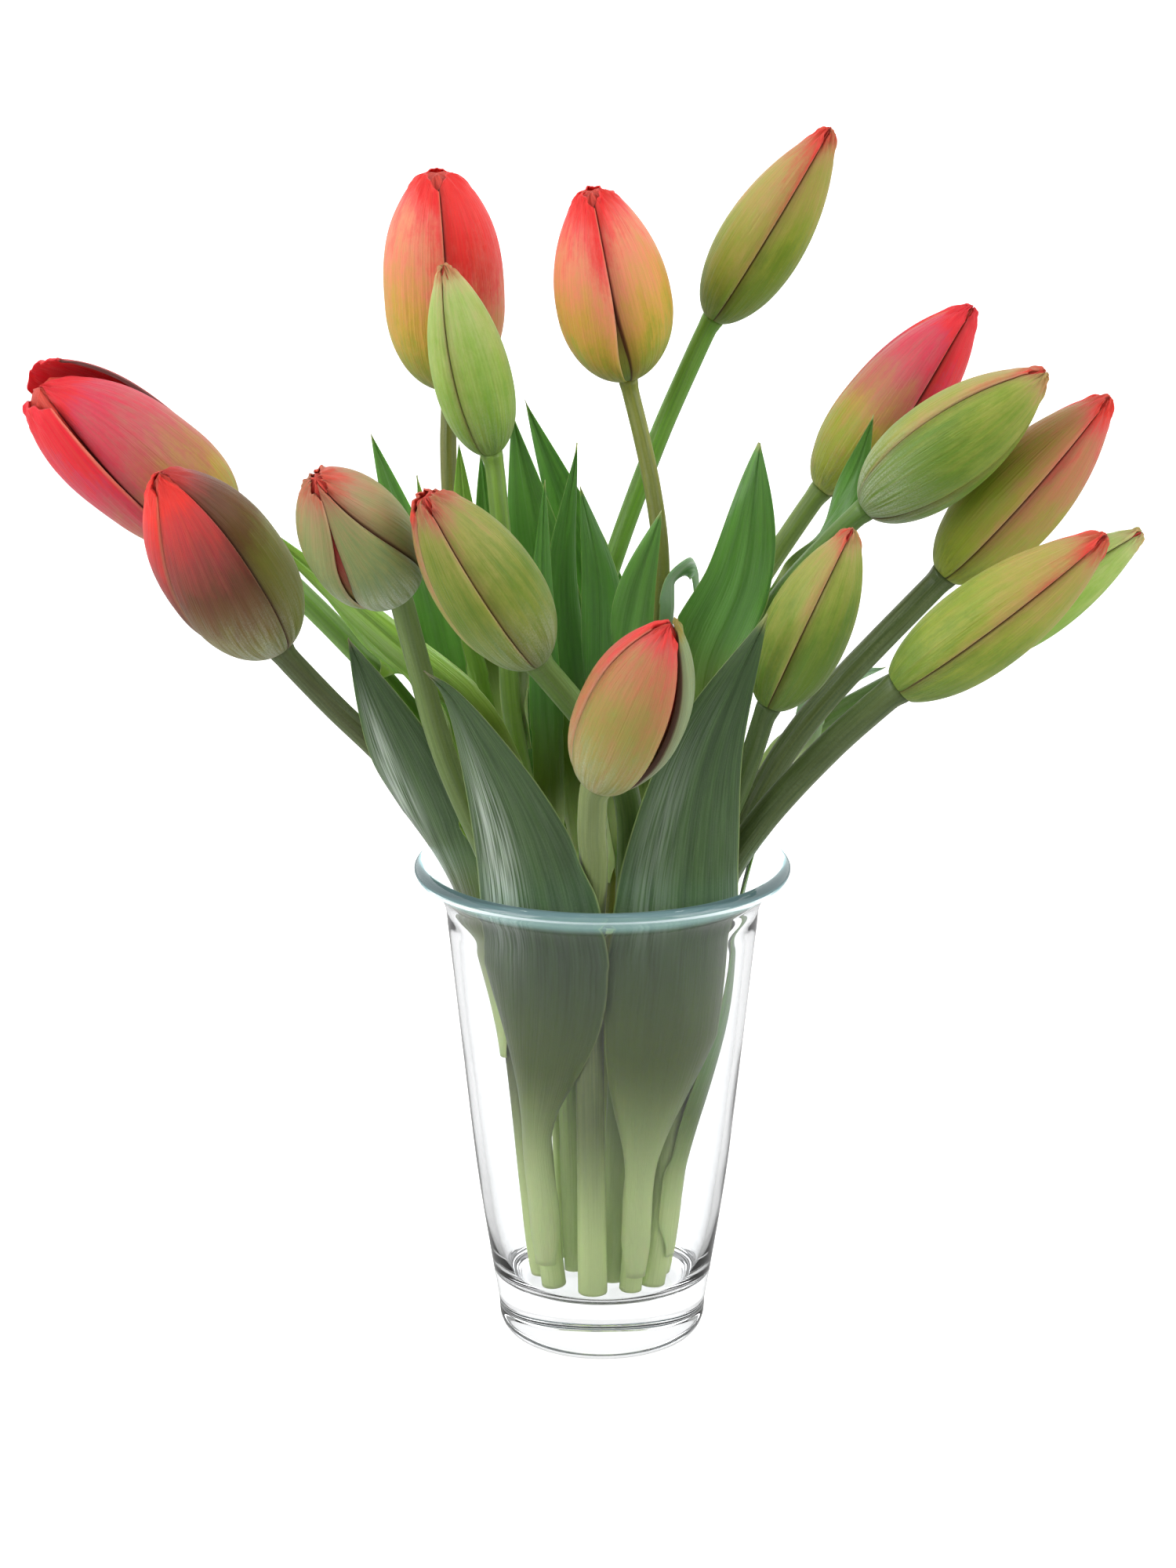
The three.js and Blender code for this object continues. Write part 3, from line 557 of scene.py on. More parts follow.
def make_vase(glass):
    """The vase's outline, from the underside's centre up the outside, over the rim and down to the
    inner floor's centre, rounded by a spline and turned about Z."""
    line = spline_through(VASE_OUTSIDE + VASE_INSIDE, VASE_ROWS)[1:-1]
    line = np.maximum(line, (POLE_RADIUS, 0))
    turn = np.linspace(0, 2 * np.pi, VASE_SIDES, endpoint=False)
    radius, height = line[:, :1], line[:, 1:]
    points = np.stack([radius * np.cos(turn), radius * np.sin(turn), height + 0 * turn], axis=-1)
    solid = Solid()
    solid.add_tube(points, [[0, 0, 0], [0, 0, VASE_FLOOR]])
    solid.piece("vase_glass", "vase", "vase_glass", glass)


def inside_radius(z):
    """The radius of the inside of the glass at a height, and a great one above the rim."""
    inside = np.array(VASE_INSIDE[1:-1])[::-1]
    return np.where(z < inside[-1, 1], np.interp(z, inside[:, 1], inside[:, 0]), 1000)


# ---- Stems ----

STEM_ROWS = 150
STEM_COLUMNS = 24
STEM_RIBS = 7
RIB_HEIGHT = 0.006  # as a part of the radius, as the two swells are
FOOT_SWELL = 0.06
FOOT_SHARE = 0.3  # of the stem's length
HEAD_SWELL = 0.16
HEAD_LENGTH = 5


def stem_line(tulip):
    """A dense line from the cut foot on the vase's floor, through the neck and the bends, into line
    with the bud. It is evened out: of 17 points spaced along it, each inner one moves halfway to the
    middle of its neighbours, twice."""
    x, y = tulip.neck
    foot = (x * FOOT_SCALE + FOOT_SHIFT[0], y * FOOT_SCALE + FOOT_SHIFT[1], VASE_FLOOR + FOOT_CLEARANCE)
    base = np.array(tulip.base, float)
    down = unit(base - np.array(tulip.tip))
    end = [base + down * STEM_CURVE_END, base + down * BUD_GAP]
    rough = spline_through([foot, (x, y, NECK_HEIGHT), *tulip.bend, *end])
    line = at_shares(rough, np.linspace(0, 1, STEM_STRETCHES + 1))
    for _ in range(STEM_PASSES):
        line[1:-1] = line[1:-1] / 2 + (line[:-2] + line[2:]) / 4
    return spline_through([*line[:-1], base + down * STEM_END, line[-1]], 30)


def make_stem_material(name, code):
    """A smooth green stem with fine ribs, paler and yellower at its foot, with a little bloom."""
    material, shader, nodes = new_material(name)
    grain = nodes.field("grain", "Vector")
    veins = nodes.group(VEINS, Grain=grain, Spacing=0.7)
    bloom = nodes.group(BLOOM, Grain=grain, Amount=0.5)
    skin = nodes.tint(colour(code), veins["Bands"], 0.4, "36502a")
    skin = nodes.tint(skin, veins["Lines"], 0.12, "9aa860")
    skin = nodes.tint(skin, bloom["Mask"], 0.35, "98a684")
    skin = nodes.tint(skin, nodes.step(nodes.field("along"), 0.34, 0.06), 0.95, "dcf0a2")
    roughness = nodes.math("MULTIPLY_ADD", veins["Mottle"], 0.15, 0.34)
    set_surface(nodes, shader, skin, roughness, veins["Lines"], 0.00015, 0.5)
    set_tissue(nodes, shader, 0.15, (0.0008, 0.0012, 0.0004))
    return material


def make_stem(number, tulip, line):
    """Rings round the stem's line, a little wider at its foot and where it meets the bud, with shallow
    ribs. Its grain is the place across, along and across again, set apart from the other stems'."""
    share = np.linspace(0, 1, STEM_ROWS)
    centre = at_shares(line, share)
    along = unit(np.gradient(centre, axis=0))
    viewer = unit(np.array([0, -1, 0]) - along * -along[:, 1:2])
    side = np.cross(along, viewer)
    turn = np.linspace(0, 2 * np.pi, STEM_COLUMNS, endpoint=False)
    length = np.linalg.norm(np.diff(line, axis=0), axis=1).sum()
    from_top = (1 - share) * length
    swell = 1 + FOOT_SWELL * smooth(1 - share / FOOT_SHARE) + HEAD_SWELL * smooth(1 - from_top / HEAD_LENGTH)
    ribs = 1 + RIB_HEIGHT * np.cos(STEM_RIBS * turn + number)
    radius = tulip.stem * swell[:, None] * ribs
    points = (
        centre[:, None] + radius[..., None] * (
            np.cos(turn)[None, :, None] * viewer[:, None] + np.sin(turn)[None, :, None] * side[:, None]
        )
    )
    apart = 20 * number
    share = share[:, None] + 0 * turn
    grain = np.stack([
        tulip.stem * np.cos(turn) + 0 * share, share * length, tulip.stem * np.sin(turn) + apart + 0 * share,
    ], axis=-1)
    solid = Solid()
    solid.add_tube(
        points, [centre[0], centre[-1] + along[-1] * 0.6],
        along=(share, [0, 1]), grain=(grain, [[0, 0, apart], [0, length, apart]]),
    )
    name = f"stem_{number:02d}"
    skin = make_stem_material(name + "_skin", STEM_COLOURS[number - 1])
    solid.piece(name + "_stalk", name, "stem_green", skin)


# ---- Buds ----

TEPAL_ROWS = 64
TEPAL_COLUMNS = 33
TEPAL_THICKNESS = 0.9
TEPAL_LAP = 1.5  # degrees by which each tepal laps over the next
TEPAL_LIFT = 0.9  # one edge of each tepal stands this far out
TEPAL_TUCK = 0.3  # and the other edge this far in
TEPAL_RIM = 0.86  # from here to the edge a tepal's rim is rounded over
PILLOW = 1.5  # a tepal falls this far towards its edges
LOOSE_WIDTH = 0.85  # a loose tepal's, as a part of the others'
LOOSE_RISE = 1  # how far it is moved up
CRUMPLE = 0.8  # height of the folds at a tepal's tip
CRUMPLE_FROM = 0.86  # where along it they begin
FLAME = 0.35  # how much riper a tepal's tip is
FLAME_FROM = 0.82  # where along it that begins
HEART_DEPTH = 2.1  # the inner tepals lie this far below the outer ones
HEART_DROP = 0.07  # their corners end lower than their points by this share
HEART_LENGTH = 0.99  # as a part of the bud's
HEART_RISE = 0.3  # above the bud's base, and also their least radius
HEART_COLUMNS = 72
ALONG = (1 - np.cos(np.linspace(0, np.pi, TEPAL_ROWS))) / 2  # rows, closer together at both ends


def bud_profile(t, start, full):
    """A closed bud's radius along its length, as a part of its greatest: an ellipse up to the widest
    place, from where the stem enters, and above it a dome that draws to a point."""
    below = (BUD_WIDEST - np.clip(t, 0, BUD_WIDEST)) / BUD_WIDEST
    above = np.clip((t - BUD_WIDEST) / (1 - BUD_WIDEST), 0, 1)
    return np.where(t < BUD_WIDEST, np.sqrt(1 - below ** 2 * (1 - start ** 2)), (1 - above ** full) ** 0.9)


def bud_place(tulip, turn, radius, height):
    """Points at a turn in degrees from the viewer, a radius from the bud's axis and a height along it."""
    base = np.array(tulip.base, float)
    up = unit(np.array(tulip.tip) - base)
    viewer = unit(np.array([0, -1, 0]) + up[1] * up)
    across = np.cross(up, viewer)
    angle = np.radians(turn)[..., None]
    return (
        base + height[..., None] * up
        + radius[..., None] * (np.cos(angle) * viewer + np.sin(angle) * across)
    )


def bud_length(tulip):
    """From the bud's base to its tip."""
    return float(np.linalg.norm(np.array(tulip.tip, float) - np.array(tulip.base)))


def seam_at(tulip, k, t):
    """Seam k of a bud, part of the way along it: its turn from the viewer in degrees, and how far the
    tepals stand back from it: nothing, or a bell curve of the gap's width round the gap's place.
    Tepal k lies between seam k and seam k + 1."""
    turn = tulip.seams[k % 3] + tulip.drift[k % 3] * t + (360 if k > 2 else 0)
    gap = tulip.gap
    if not gap or gap["seam"] != k % 3:
        return turn, 0 * t
    return turn, gap["wide"] * np.exp(-((t - gap["at"]) / GAP_REACH) ** 2)


def crumple(turn, t, number):
    """Small folds of the tips: a few waves across and along, grown from nothing over the last part."""
    angle = np.radians(turn)
    waves = (
        np.sin(9 * angle + 2.1 * number) * np.sin(40 * t + number)
        + 0.6 * np.sin(17 * angle + 60 * t + 1.3 * number)
    )
    return waves * smooth((t - CRUMPLE_FROM) / (1 - CRUMPLE_FROM))


def tepal_sheet(number, tulip, k, u, v, inner):
    """One tepal, u from base to point and v from edge to edge: its outer face, or its inner one. Its
    radius is the bud's profile, less a fall towards its edges, with one edge lifted and the other
    tucked in, and its rim rounded over. Its corners end lower than its point. A loose tepal is
    narrower, and stands off in an arch."""
    t = u * (1 - TIP_DROP * u ** 4 * v ** 2)
    start = STEM_SEAT * tulip.stem / tulip.bud
    profile = bud_profile(t, start, tulip.full)
    lift = np.where(v > 0, TEPAL_LIFT, TEPAL_TUCK)
    gape = tulip.gape[k] * t ** 4
    (first, after_first), (second, before_second) = seam_at(tulip, k, t), seam_at(tulip, k + 1, t)
    low, high = first + after_first - TEPAL_LAP, second - before_second + TEPAL_LAP
    grown = smooth(5 * u)
    rim = np.clip((np.abs(v) - TEPAL_RIM) / (1 - TEPAL_RIM), 0, 1)
    fall = PILLOW * (0.5 * v ** 4 + 0.5 * v ** 10) * grown * profile
    top = tulip.bud * profile + v * lift * grown + gape + TIP_RADIUS * t - fall
    middle, half = (low + high) / 2, (high - low) / 2
    turn = middle + v * half
    top = top + CRUMPLE * crumple(turn, t, number)
    radius = top - TEPAL_THICKNESS * (1.06 if inner else 1 - np.sqrt(1 - rim ** 2))
    height = t * bud_length(tulip)
    loose = tulip.loose
    if loose and loose["tepal"] == k:
        turn = middle + LOOSE_WIDTH * v * half
        radius = radius + loose["by"] * np.sin(np.pi * np.minimum(1, 1.1 * u)) + loose["flare"] * u
        height = height * (1 + (loose["rise"] - 1) * u) + LOOSE_RISE
    return bud_place(tulip, turn, np.maximum(radius, 0.15), height), t


def ripeness(look, k, t, v):
    """How far each place has coloured, from 0 to 1: rising along the tepal, more at its edges and at
    its tip."""
    low, high = look.ripe
    begin, end = look.over
    rise = (high - low) * smooth((t - begin) / (end - begin))
    edge = look.edge * (0.4 * v ** 2 + 0.6 * v ** 8) * smooth(2.5 * t)
    flame = FLAME * smooth((t - FLAME_FROM) / (1 - FLAME_FROM))
    return low + rise + edge + look.each[k] * smooth(3 * t) + flame


def make_tepal_material(name, look):
    """Satin tepal skin: its ripeness picks the colour, with fine veins, streaks, patches and specks,
    darker green smudges and a pale bloom at its base, a painted highlight as a thin pale strip on one
    edge, and on the other side painted shade that deepens to a painted shadow line at the tucked edge."""
    material, shader, nodes = new_material(name)
    along = nodes.field("along")
    across = nodes.field("across")
    grain = nodes.field("grain", "Vector")
    fine = nodes.group(VEINS, Grain=grain, Spacing=0.5)
    broad = nodes.group(VEINS, Grain=grain, Spacing=1.5)
    specks = nodes.noise(grain, (1.3, 0.7, 1), 4.0, 0.7)
    patches = nodes.noise(grain, (0.16, 0.07, 1), 3.0, 0.6)
    ripe = nodes.field("ripe")
    for pattern, amount in (
        (fine["Bands"], 0.06), (broad["Lines"], 0.06), (fine["Mottle"], 0.1), (specks, 0.24), (patches, 0.5),
    ):
        amount = amount * look.mixed
        ripe = nodes.math("ADD", ripe, nodes.math("MULTIPLY_ADD", pattern, amount, -amount / 2))
    skin = nodes.ramp(ripe, look.skin)
    smudge = nodes.times(nodes.step(along, 0.26, 0.02), fine["Mottle"])
    # The pale waxy bloom at the base, which the bud has under any light.
    bloom_and_painted_highlight_mask = nodes.times(nodes.step(along, 0.5, 0.04), look.bloom)
    bloom = nodes.group(BLOOM, Grain=grain, Amount=bloom_and_painted_highlight_mask)
    for mask, amount, code in (
        (fine["Lines"], 0.14, "5a5026"), (broad["Lines"], 0.04, "ecb878"), (smudge, 0.6, "48681c"),
        # Painted highlight: the thin pale strip along the lifted edge (across near 1).
        (bloom["Mask"], 1.0, "c9cfc0"), (nodes.step(across, 0.95, 1.0), 0.35, "e0b890"),
        # Painted shade: darker towards the tucked edge, then a painted shadow line where the next tepal's
        # lifted edge laps over it.
        (nodes.step(across, -0.6, -0.96), 0.4, "54301c"), (nodes.step(across, -0.89, -0.95), 0.9, "3c140c"),
    ):
        skin = nodes.tint(skin, mask, amount, code)
    roughness = nodes.math("MULTIPLY_ADD", fine["Mottle"], 0.14, 0.34)
    relief = nodes.math("ADD", fine["Lines"], nodes.times(broad["Lines"], 1.5))
    set_surface(nodes, shader, skin, roughness, relief, 0.0001, 0.7)
    set_tissue(nodes, shader, 0.2, (0.0024, 0.0008, 0.0004))
    nodes.fill_all(shader, {"Specular IOR Level": 0.3, "Sheen Weight": 0.03})
    return material


def make_heart_material():
    """The inner tepals: dark olive-brown in the seams, orange-red at their tips."""
    material, shader, nodes = new_material("heart_skin")
    veins = nodes.group(VEINS, Grain=nodes.field("grain", "Vector"), Spacing=0.5)
    skin = nodes.ramp(nodes.field("along"), ["587a28", "8e8c34", "84502a", "a03426", "d83028", "ea5040"])
    skin = nodes.tint(skin, veins["Lines"], 0.3, "3a2010")
    set_surface(nodes, shader, skin, 0.5, veins["Lines"], 0.0002, 0.6)
    set_tissue(nodes, shader, 0.15, (0.0014, 0.0006, 0.0003))
    return material


def make_bud(number, tulip, look, heart_skin):
    """Three outer tepals over the three inner ones. A tepal's grain is the place across and along it,
    and a number that sets it apart from the others."""
    u, v = np.meshgrid(ALONG, np.sin(np.linspace(-np.pi / 2, np.pi / 2, TEPAL_COLUMNS)), indexing="ij")
    tepals = Solid()
    wide = tulip.bud * np.radians(60)
    for k in range(3):
        top, t = tepal_sheet(number, tulip, k, u, v, False)
        under, _ = tepal_sheet(number, tulip, k, u, v, True)
        grain = np.stack([v * wide, t * bud_length(tulip), 0 * t + 30 * number + 7 * k], axis=-1)
        tepals.add_slab(top, under, along=t, across=v, ripe=ripeness(look, k, t, v), grain=grain)
    name = f"bud_{number:02d}"
    slot = "tepal_" + SLOT_OF_BUD.get(number, "green")
    tepals.piece(name + "_tepals", name, slot, make_tepal_material(name + "_skin", look))
    make_heart(number, tulip).piece(name + "_heart", name, slot, heart_skin)


def make_heart(number, tulip):
    """The inner tepals as one closed body of rings, a little below the outer ones, and less so
    towards the tip. Each has its middle at one of their seams, falls towards its edges, and gapes
    with the less open of the two over it."""
    u, part = np.meshgrid(ALONG, np.linspace(0, 3, HEART_COLUMNS, endpoint=False), indexing="ij")
    seams = np.stack([seam_at(tulip, k, u)[0] for k in range(4)])
    k = np.floor(part).astype(int)
    rows, columns = np.indices(k.shape)
    low, high = seams[k, rows, columns], seams[k + 1, rows, columns]
    turn = low + (part - k) * (high - low)
    v = 1 - np.abs(2 * (part - k) - 1)
    t = u * (1 - HEART_DROP * u ** 4 * v ** 2)
    start = STEM_SEAT * tulip.stem / tulip.bud
    profile = bud_profile(t, start, tulip.full)
    deep = HEART_DEPTH * smooth(4 * u) * (1 - 0.7 * smooth((t - 0.75) / 0.2))
    gapes = np.array(tulip.gape)
    gape = np.minimum(gapes[k], v * gapes[k] + (1 - v) * np.minimum(gapes[k], gapes[k - 1]))
    radius = tulip.bud * profile - deep - v ** 4 * profile + 0.7 * gape * t ** 4
    radius = radius + 0.4 * t + CRUMPLE * crumple(turn, t, number + 3)
    length, apart = HEART_LENGTH * bud_length(tulip), 50 * number
    points = bud_place(tulip, turn, np.maximum(radius, HEART_RISE), t * length + HEART_RISE)
    ends = bud_place(tulip, np.zeros(2), np.zeros(2), np.array([0, length]) + HEART_RISE)
    around = np.radians(turn)
    grain = np.stack([
        tulip.bud * np.cos(around), t * length, tulip.bud * np.sin(around) + apart,
    ], axis=-1)
    heart = Solid()
    heart.add_tube(points, ends, along=(t, [0, 1]), grain=(grain, [[0, 0, apart], [0, length, apart]]))
    return heart


# ---- Leaves ----

LEAF_ROWS = 96
LEAF_COLUMNS = 41
NARROW_COLUMNS = 25  # of a leaf that is no more than NARROW half wide
NARROW = 12
EDGE_TURN = 1.45  # the columns lie closer together towards the edges
OPENING = 0.35  # over this share of its length a leaf opens from sheath to curl
CREASE = 0.5  # depth of the fold down its middle
CREASE_WIDTH = 0.1  # as a part of half its width
EDGE_HALF = 0.12  # half its thickness at its edge
STEM_POINTS = 25  # of each stem, where leaves are cleared of it
PUSH_PASSES = 5  # how often the moves that clear them are evened out


def at_height(line, z):
    """The point of a rising line at a height."""
    return np.array([np.interp(z, line[:, 2], line[:, 0]), np.interp(z, line[:, 2], line[:, 1]), z])


def clear_of_stems(points, outward, lines, rooms):
    """How far each point moves along its own outward direction to stand clear of every stem: where
    the nearest place of a stem's stretch lies within that stem's room, out to the room's far side."""
    start = lines[:, :-1].reshape(-1, 3)
    run = np.diff(lines, axis=1).reshape(-1, 3)
    room = np.repeat(rooms, lines.shape[1] - 1)
    share = np.clip(((points @ run.T) - dot(start, run)) / dot(run, run), 0, 1)
    away = points[:, None] - (start + share[..., None] * run)
    ahead = np.einsum("nsk,nk->ns", away, outward)
    aside = dot(away, away) - ahead ** 2
    near = (aside < room ** 2) & (ahead > -room)
    move = np.where(near, np.sqrt(np.maximum(room ** 2 - aside, 0)) - ahead, 0)
    return np.maximum(move.max(axis=1), 0)


def leaf_sheets(leaf, stem_lines):
    """A blade along its midline: an arc across it that opens from the sheath's radius to the leaf's
    curl, with a rippled edge, cleared of the stems and the glass, and its two faces either side."""
    tulip = TULIPS[leaf.on - 1]
    azimuth, face = math.radians(leaf.side), math.radians(leaf.face)
    outward = np.array([math.cos(azimuth), math.sin(azimuth), 0])
    sheath = tulip.stem + SHEATH_GAP + LEAF_THICKNESS / 2
    own = stem_lines[leaf.on - 1]
    hold = leaf.hold
    base = [
        at_height(own, leaf.at + share * hold) + outward * (sheath + 0.4 * share) for share in (0, 0.5, 1)
    ]
    spine = spline_through([*base, *leaf.way, leaf.tip])
    columns = LEAF_COLUMNS if leaf.half > NARROW else NARROW_COLUMNS
    evenly = np.linspace(-EDGE_TURN, EDGE_TURN, columns)
    t, v = np.meshgrid(np.linspace(0, 1, LEAF_ROWS), np.sin(evenly) / math.sin(EDGE_TURN), indexing="ij")
    centre = at_shares(spine, t[:, 0])
    length = np.linalg.norm(np.diff(centre, axis=0), axis=1).sum()
    along = unit(np.gradient(centre, axis=0))
    turn = azimuth + (face - azimuth) * smooth(t[:, 0])
    back = np.stack([np.cos(turn), np.sin(turn), 0 * turn], axis=-1)
    back = unit(back - along * dot(back, along)[:, None])
    across = np.cross(along, back)
    foot = SHEATH_TURN * sheath
    widest = leaf.widest
    held = hold / length
    grown = np.clip((t - held) / (widest - held), 0, 1)
    rest = np.clip((t - widest) / (1 - widest), 0, 1)
    half = np.where(
        t < widest, foot + (leaf.half - foot) * np.sin(np.pi / 2 * grown),
        leaf.half * (1 - rest ** 1.6) ** 1.1 + 0.5 * (1 - rest ** 8),
    )
    radius = sheath + (leaf.curl - sheath) * smooth((t - held) / OPENING)
    bend = v * half / radius
    sunk = (SHEATH_GAP + LEAF_THICKNESS) * (1 - smooth(t * length / SHEATH_LENGTH))
    ripple = leaf.wave * v ** 2 * smooth(2.5 * t)
    ripple = ripple * np.sin(2 * np.pi * leaf.waves * t + np.where(v > 0, 0, 2))
    crease = -CREASE * np.exp(-(v / CREASE_WIDTH) ** 2) * smooth(2 * t)
    back, across = back[:, None], across[:, None]
    points = (
        centre[:, None] + across * ((radius - sunk) * np.sin(bend))[..., None]
        + back * (ripple + crease - radius + (radius - sunk) * np.cos(bend))[..., None]
    )
    lines = np.array([at_shares(line, np.linspace(0, 1, STEM_POINTS)) for line in stem_lines])
    rooms = np.array([tulip.stem + STEM_ROOM for tulip in TULIPS])
    rooms[leaf.on - 1] = sheath
    flat = points.reshape(-1, 3)
    push = clear_of_stems(flat, np.broadcast_to(back, points.shape).reshape(-1, 3), lines, rooms)
    points = points + back * blur(push.reshape(t.shape), PUSH_PASSES)[..., None]
    reach = np.hypot(points[..., 0], points[..., 1])
    limit = inside_radius(points[..., 2]) - WALL_ROOM
    points[..., :2] *= np.minimum(1, limit / reach)[..., None]
    normal = back * np.cos(bend)[..., None] + across * np.sin(bend)[..., None]
    thick = EDGE_HALF + (LEAF_THICKNESS / 2 - EDGE_HALF) * (1 - v ** 6)
    offset = normal * thick[..., None]
    return points + offset, points - offset, t, v, length


def make_leaf_material(name, look, tip):
    """A leathery blade: parallel veins, darker bands, a pale bloom in streaks, a painted highlight
    of pale streaks over the middle of its left side, more olive and then paler towards its base, with
    a thin yellow margin and a coloured point."""
    blade, shade, pale, amount, painted_highlight_amount = look
    material, shader, nodes = new_material(name)
    along = nodes.field("along")
    across = nodes.field("across")
    grain = nodes.field("grain", "Vector")
    veins = nodes.group(VEINS, Grain=grain, Spacing=0.8)
    bloom = nodes.group(BLOOM, Grain=grain, Amount=amount)
    skin = nodes.tint(colour(blade), veins["Bands"], 0.7, shade)
    skin = nodes.tint(skin, veins["Lines"], 0.12, pale)
    skin = nodes.tint(skin, bloom["Mask"], 0.4, pale)
    # Painted highlight: pale streaks over the middle of the left side, standing in for the gleam of a side
    # light.
    left = nodes.times(nodes.step(across, -1.0, -0.6), nodes.step(across, 0.1, -0.5))
    middle = nodes.times(nodes.step(along, 0.42, 0.62), nodes.step(along, 0.96, 0.7))
    bloom_and_painted_highlight_mask = nodes.times(nodes.times(left, middle), veins["Lines"])
    for mask, amount, code in (
        (bloom_and_painted_highlight_mask, painted_highlight_amount, "ccd8ca"), (nodes.step(along, 0.56, 0.3), 0.75, "5c6e0c"),
        (nodes.step(along, 0.34, 0.08), 0.95, "dcf0a4"),
        (nodes.step(nodes.field("edge"), 0.96, 1.0), 0.6, "98a864"), (nodes.step(along, 0.97, 1.0), 0.8, tip),
    ):
        skin = nodes.tint(skin, mask, amount, code)
    roughness = nodes.math("MULTIPLY_ADD", veins["Mottle"], 0.05, 0.28)
    set_surface(nodes, shader, skin, roughness, veins["Lines"], 0.0002, 0.5)
    set_tissue(nodes, shader, 0.25, (0.0006, 0.0014, 0.0002))
    nodes.fill_all(shader, {"IOR": 1.5})
    return material


def make_leaf(number, leaf, stem_lines):
    """A closed blade from its two faces."""
    top, under, t, v, length = leaf_sheets(leaf, stem_lines)
    grain = np.stack([v * leaf.half, t * length, 0 * t + 60 * number], axis=-1)
    solid = Solid()
    solid.add_slab(top, under, along=t, edge=np.abs(v), across=v, grain=grain)
    name = f"leaf_{number:02d}"
    skin = make_leaf_material(name + "_skin", LEAF_LOOKS[number - 1], LEAF_TIPS.get(number, "a8ae60"))
    solid.piece(name + "_blade", name, "leaf_green", skin)


# ---- Stage ----

FLOOR_WIDTH = 40  # metres
FLOOR_BELOW = 0.2  # so that it doesn't coincide with the glass
FLOOR_LIGHT = 0.27  # how bright it is as a source of light
MIRRORED_IN_GLASS = 0.6  # how bright the surroundings behind the vase are there
PANELS = [((-0.88, -0.48, 0), 4.5), ((0.9, -0.44, 0), 3.6)]  # the way to each, and how bright it is


def seen_directly(nodes, behind):
    """1 for light that reaches the eye straight or only through the glass, less for what is behind
    the vase and reflected inside the glass, and 0 for what lights other surfaces or is reflected in
    them."""
    path = nodes.add("ShaderNodeLightPath").outputs
    bounces = nodes.math("ADD", path["Diffuse Depth"], path["Glossy Depth"])
    straight = nodes.math("LESS_THAN", bounces, 0.5)
    once = nodes.math("COMPARE", path["Transmission Depth"], 2.0, 1.5)
    in_glass = nodes.times(nodes.math("LESS_THAN", path["Diffuse Depth"], 0.5), once)
    mirrored = nodes.times(in_glass, nodes.times(behind, MIRRORED_IN_GLASS))
    return nodes.math("MAXIMUM", straight, mirrored)


def make_floor():
    """A plain floor that runs on past the view: white to the eye, dimmer as a source of light, and
    dark where a surface mirrors it."""
    bpy.ops.mesh.primitive_plane_add(size=FLOOR_WIDTH)
    floor = bpy.context.object
    floor.name = "floor"
    material, shader, nodes = new_material("pale_floor")
    nodes.fill_all(shader, {
        "Base Color": (0.4, 0.4, 0.4, 1), "Roughness": 0.9, "Specular IOR Level": 0.0,
        "Emission Color": (1, 1, 1, 1),
    })
    behind = nodes.step(nodes.split(nodes.add("ShaderNodeTexCoord").outputs["Object"])["Y"], -0.05, 0.15)
    seen = seen_directly(nodes, behind)
    path = nodes.add("ShaderNodeLightPath").outputs
    lighting = nodes.times(nodes.math("GREATER_THAN", path["Diffuse Depth"], 0.5), FLOOR_LIGHT)
    nodes.fill(shader.inputs["Emission Strength"], nodes.math("MAXIMUM", seen, lighting))
    floor.data.materials.append(material)
    floor.data.transform(Matrix.Translation((0, 0, -FLOOR_BELOW * MM)))


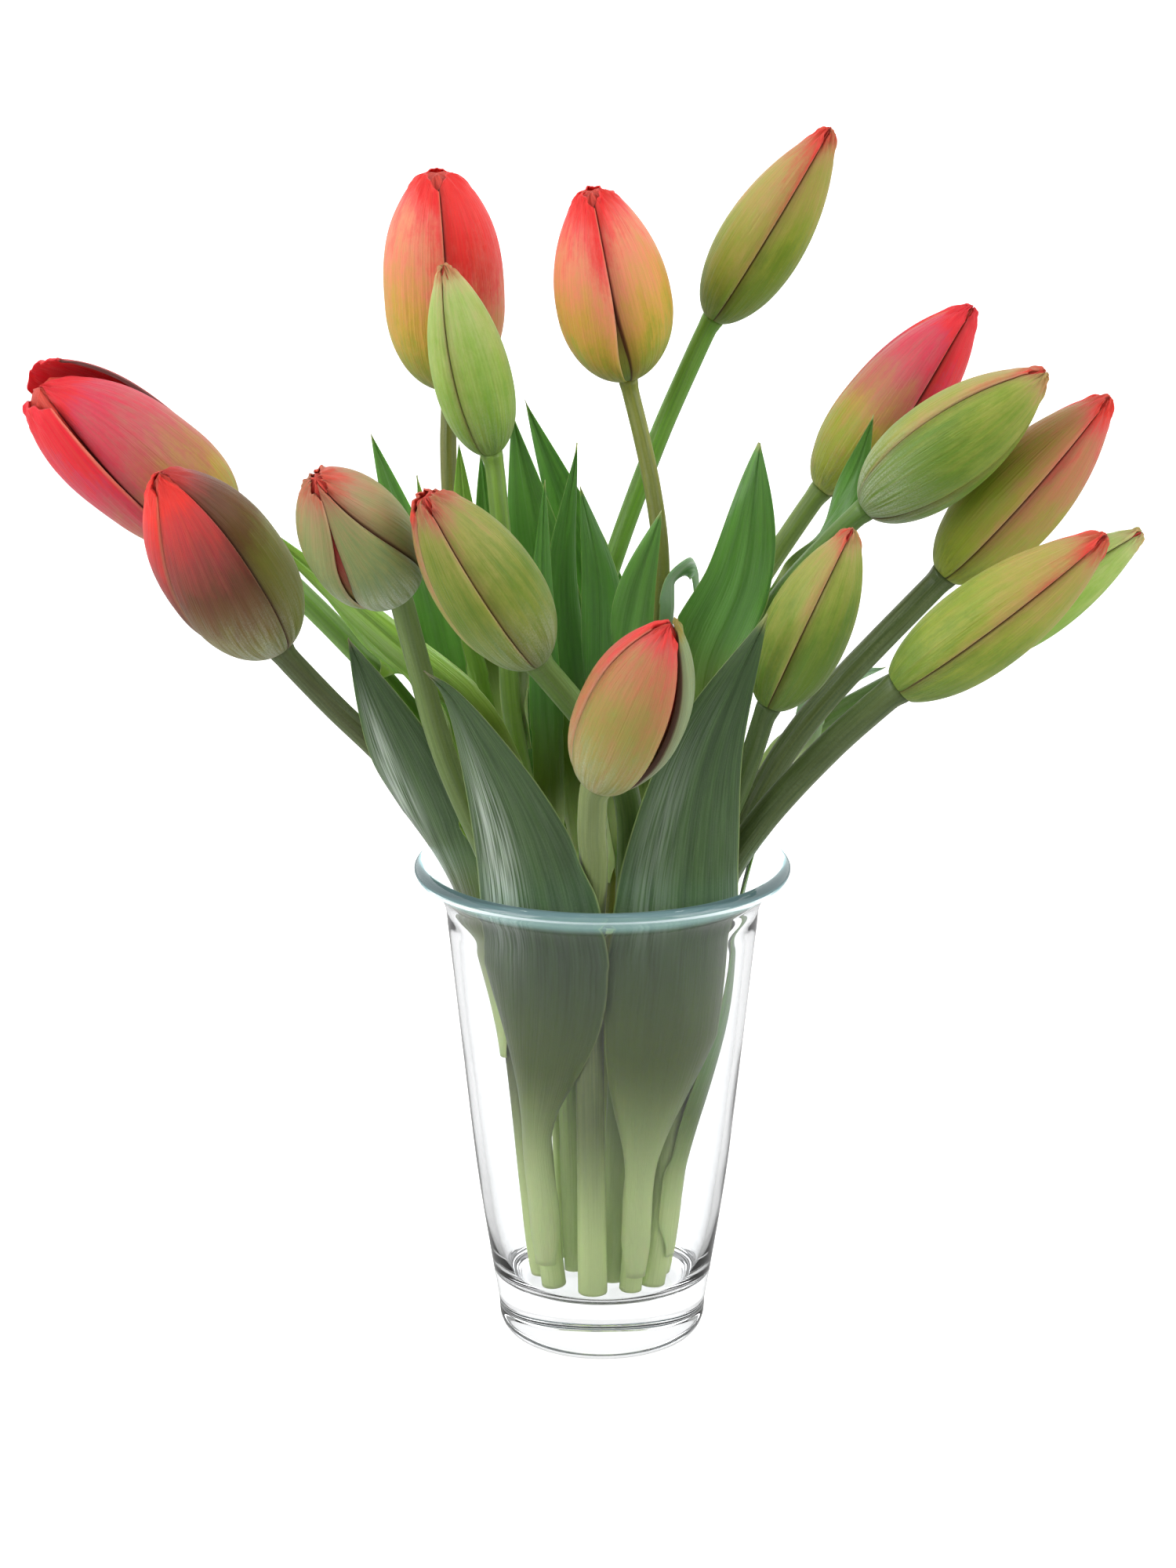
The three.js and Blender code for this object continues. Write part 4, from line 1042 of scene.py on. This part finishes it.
def make_studio():
    """White all round for the eye. As light it is bright behind and above and dim in front, with two
    tall soft panels at the front's sides."""
    world = bpy.data.worlds.new("studio")
    bpy.context.scene.world = world
    world.use_nodes = True
    world.node_tree.nodes.clear()
    nodes = Nodes(world.node_tree)
    way = nodes.add("ShaderNodeTexCoord").outputs["Generated"]
    split = nodes.split(way)
    behind = nodes.step(split["Y"], -0.9, 0.6)
    above = nodes.step(split["Z"], 0.1, 1.0)
    light = nodes.math("MULTIPLY_ADD", behind, 1.0, 0.16)
    light = nodes.math("MULTIPLY_ADD", above, 0.35, light)
    level = nodes.vector("NORMALIZE", nodes.vector("MULTIPLY", way, (1, 1, 0))[0])[0]
    tall = nodes.times(nodes.step(split["Z"], -0.2, 0.1), nodes.step(split["Z"], 0.85, 0.6))
    for towards, strength in PANELS:
        near = nodes.vector("DOT_PRODUCT", level, towards)["Value"]
        lit = nodes.times(nodes.step(near, 0.94, 0.97), tall)
        light = nodes.math("MULTIPLY_ADD", lit, strength, light)
    seen = seen_directly(nodes, behind)
    lighting, white = (
        nodes.add("ShaderNodeBackground", ((1, 1, 1, 1), strength)).outputs[0] for strength in (light, 1.0)
    )
    either = nodes.add("ShaderNodeMixShader", (seen, lighting, white))
    nodes.add("ShaderNodeOutputWorld", [either.outputs[0]])


CAMERA_AT = (-4.6, -1202, 525)
CAMERA_DOWN = 15.8  # degrees below level
CAMERA_LENS = 90.4
CAMERA_FRAME = 36  # millimetres high


def make_camera():
    """Level from side to side, a little above the flowers, as in the photograph."""
    camera = bpy.data.objects.new("camera", bpy.data.cameras.new("camera"))
    camera.data.lens = CAMERA_LENS
    camera.data.sensor_width = CAMERA_FRAME
    camera.data.clip_end = 100
    camera.location = Vector(CAMERA_AT) * MM
    camera.rotation_euler = (math.radians(90 - CAMERA_DOWN), 0, 0)
    bpy.context.scene.collection.objects.link(camera)
    bpy.context.scene.camera = camera


# ---- The object ----

make_camera()
make_floor()
make_studio()
bpy.context.scene.view_settings.view_transform = "Standard"

make_vase(make_glass())
STEM_LINES = [stem_line(tulip) for tulip in TULIPS]
HEART_SKIN = make_heart_material()
for number, (tulip, look) in enumerate(zip(TULIPS, BUD_LOOKS), 1):
    make_stem(number, tulip, STEM_LINES[number - 1])
    make_bud(number, tulip, look, HEART_SKIN)
for number, leaf in enumerate(LEAVES, 1):
    make_leaf(number, leaf, STEM_LINES)
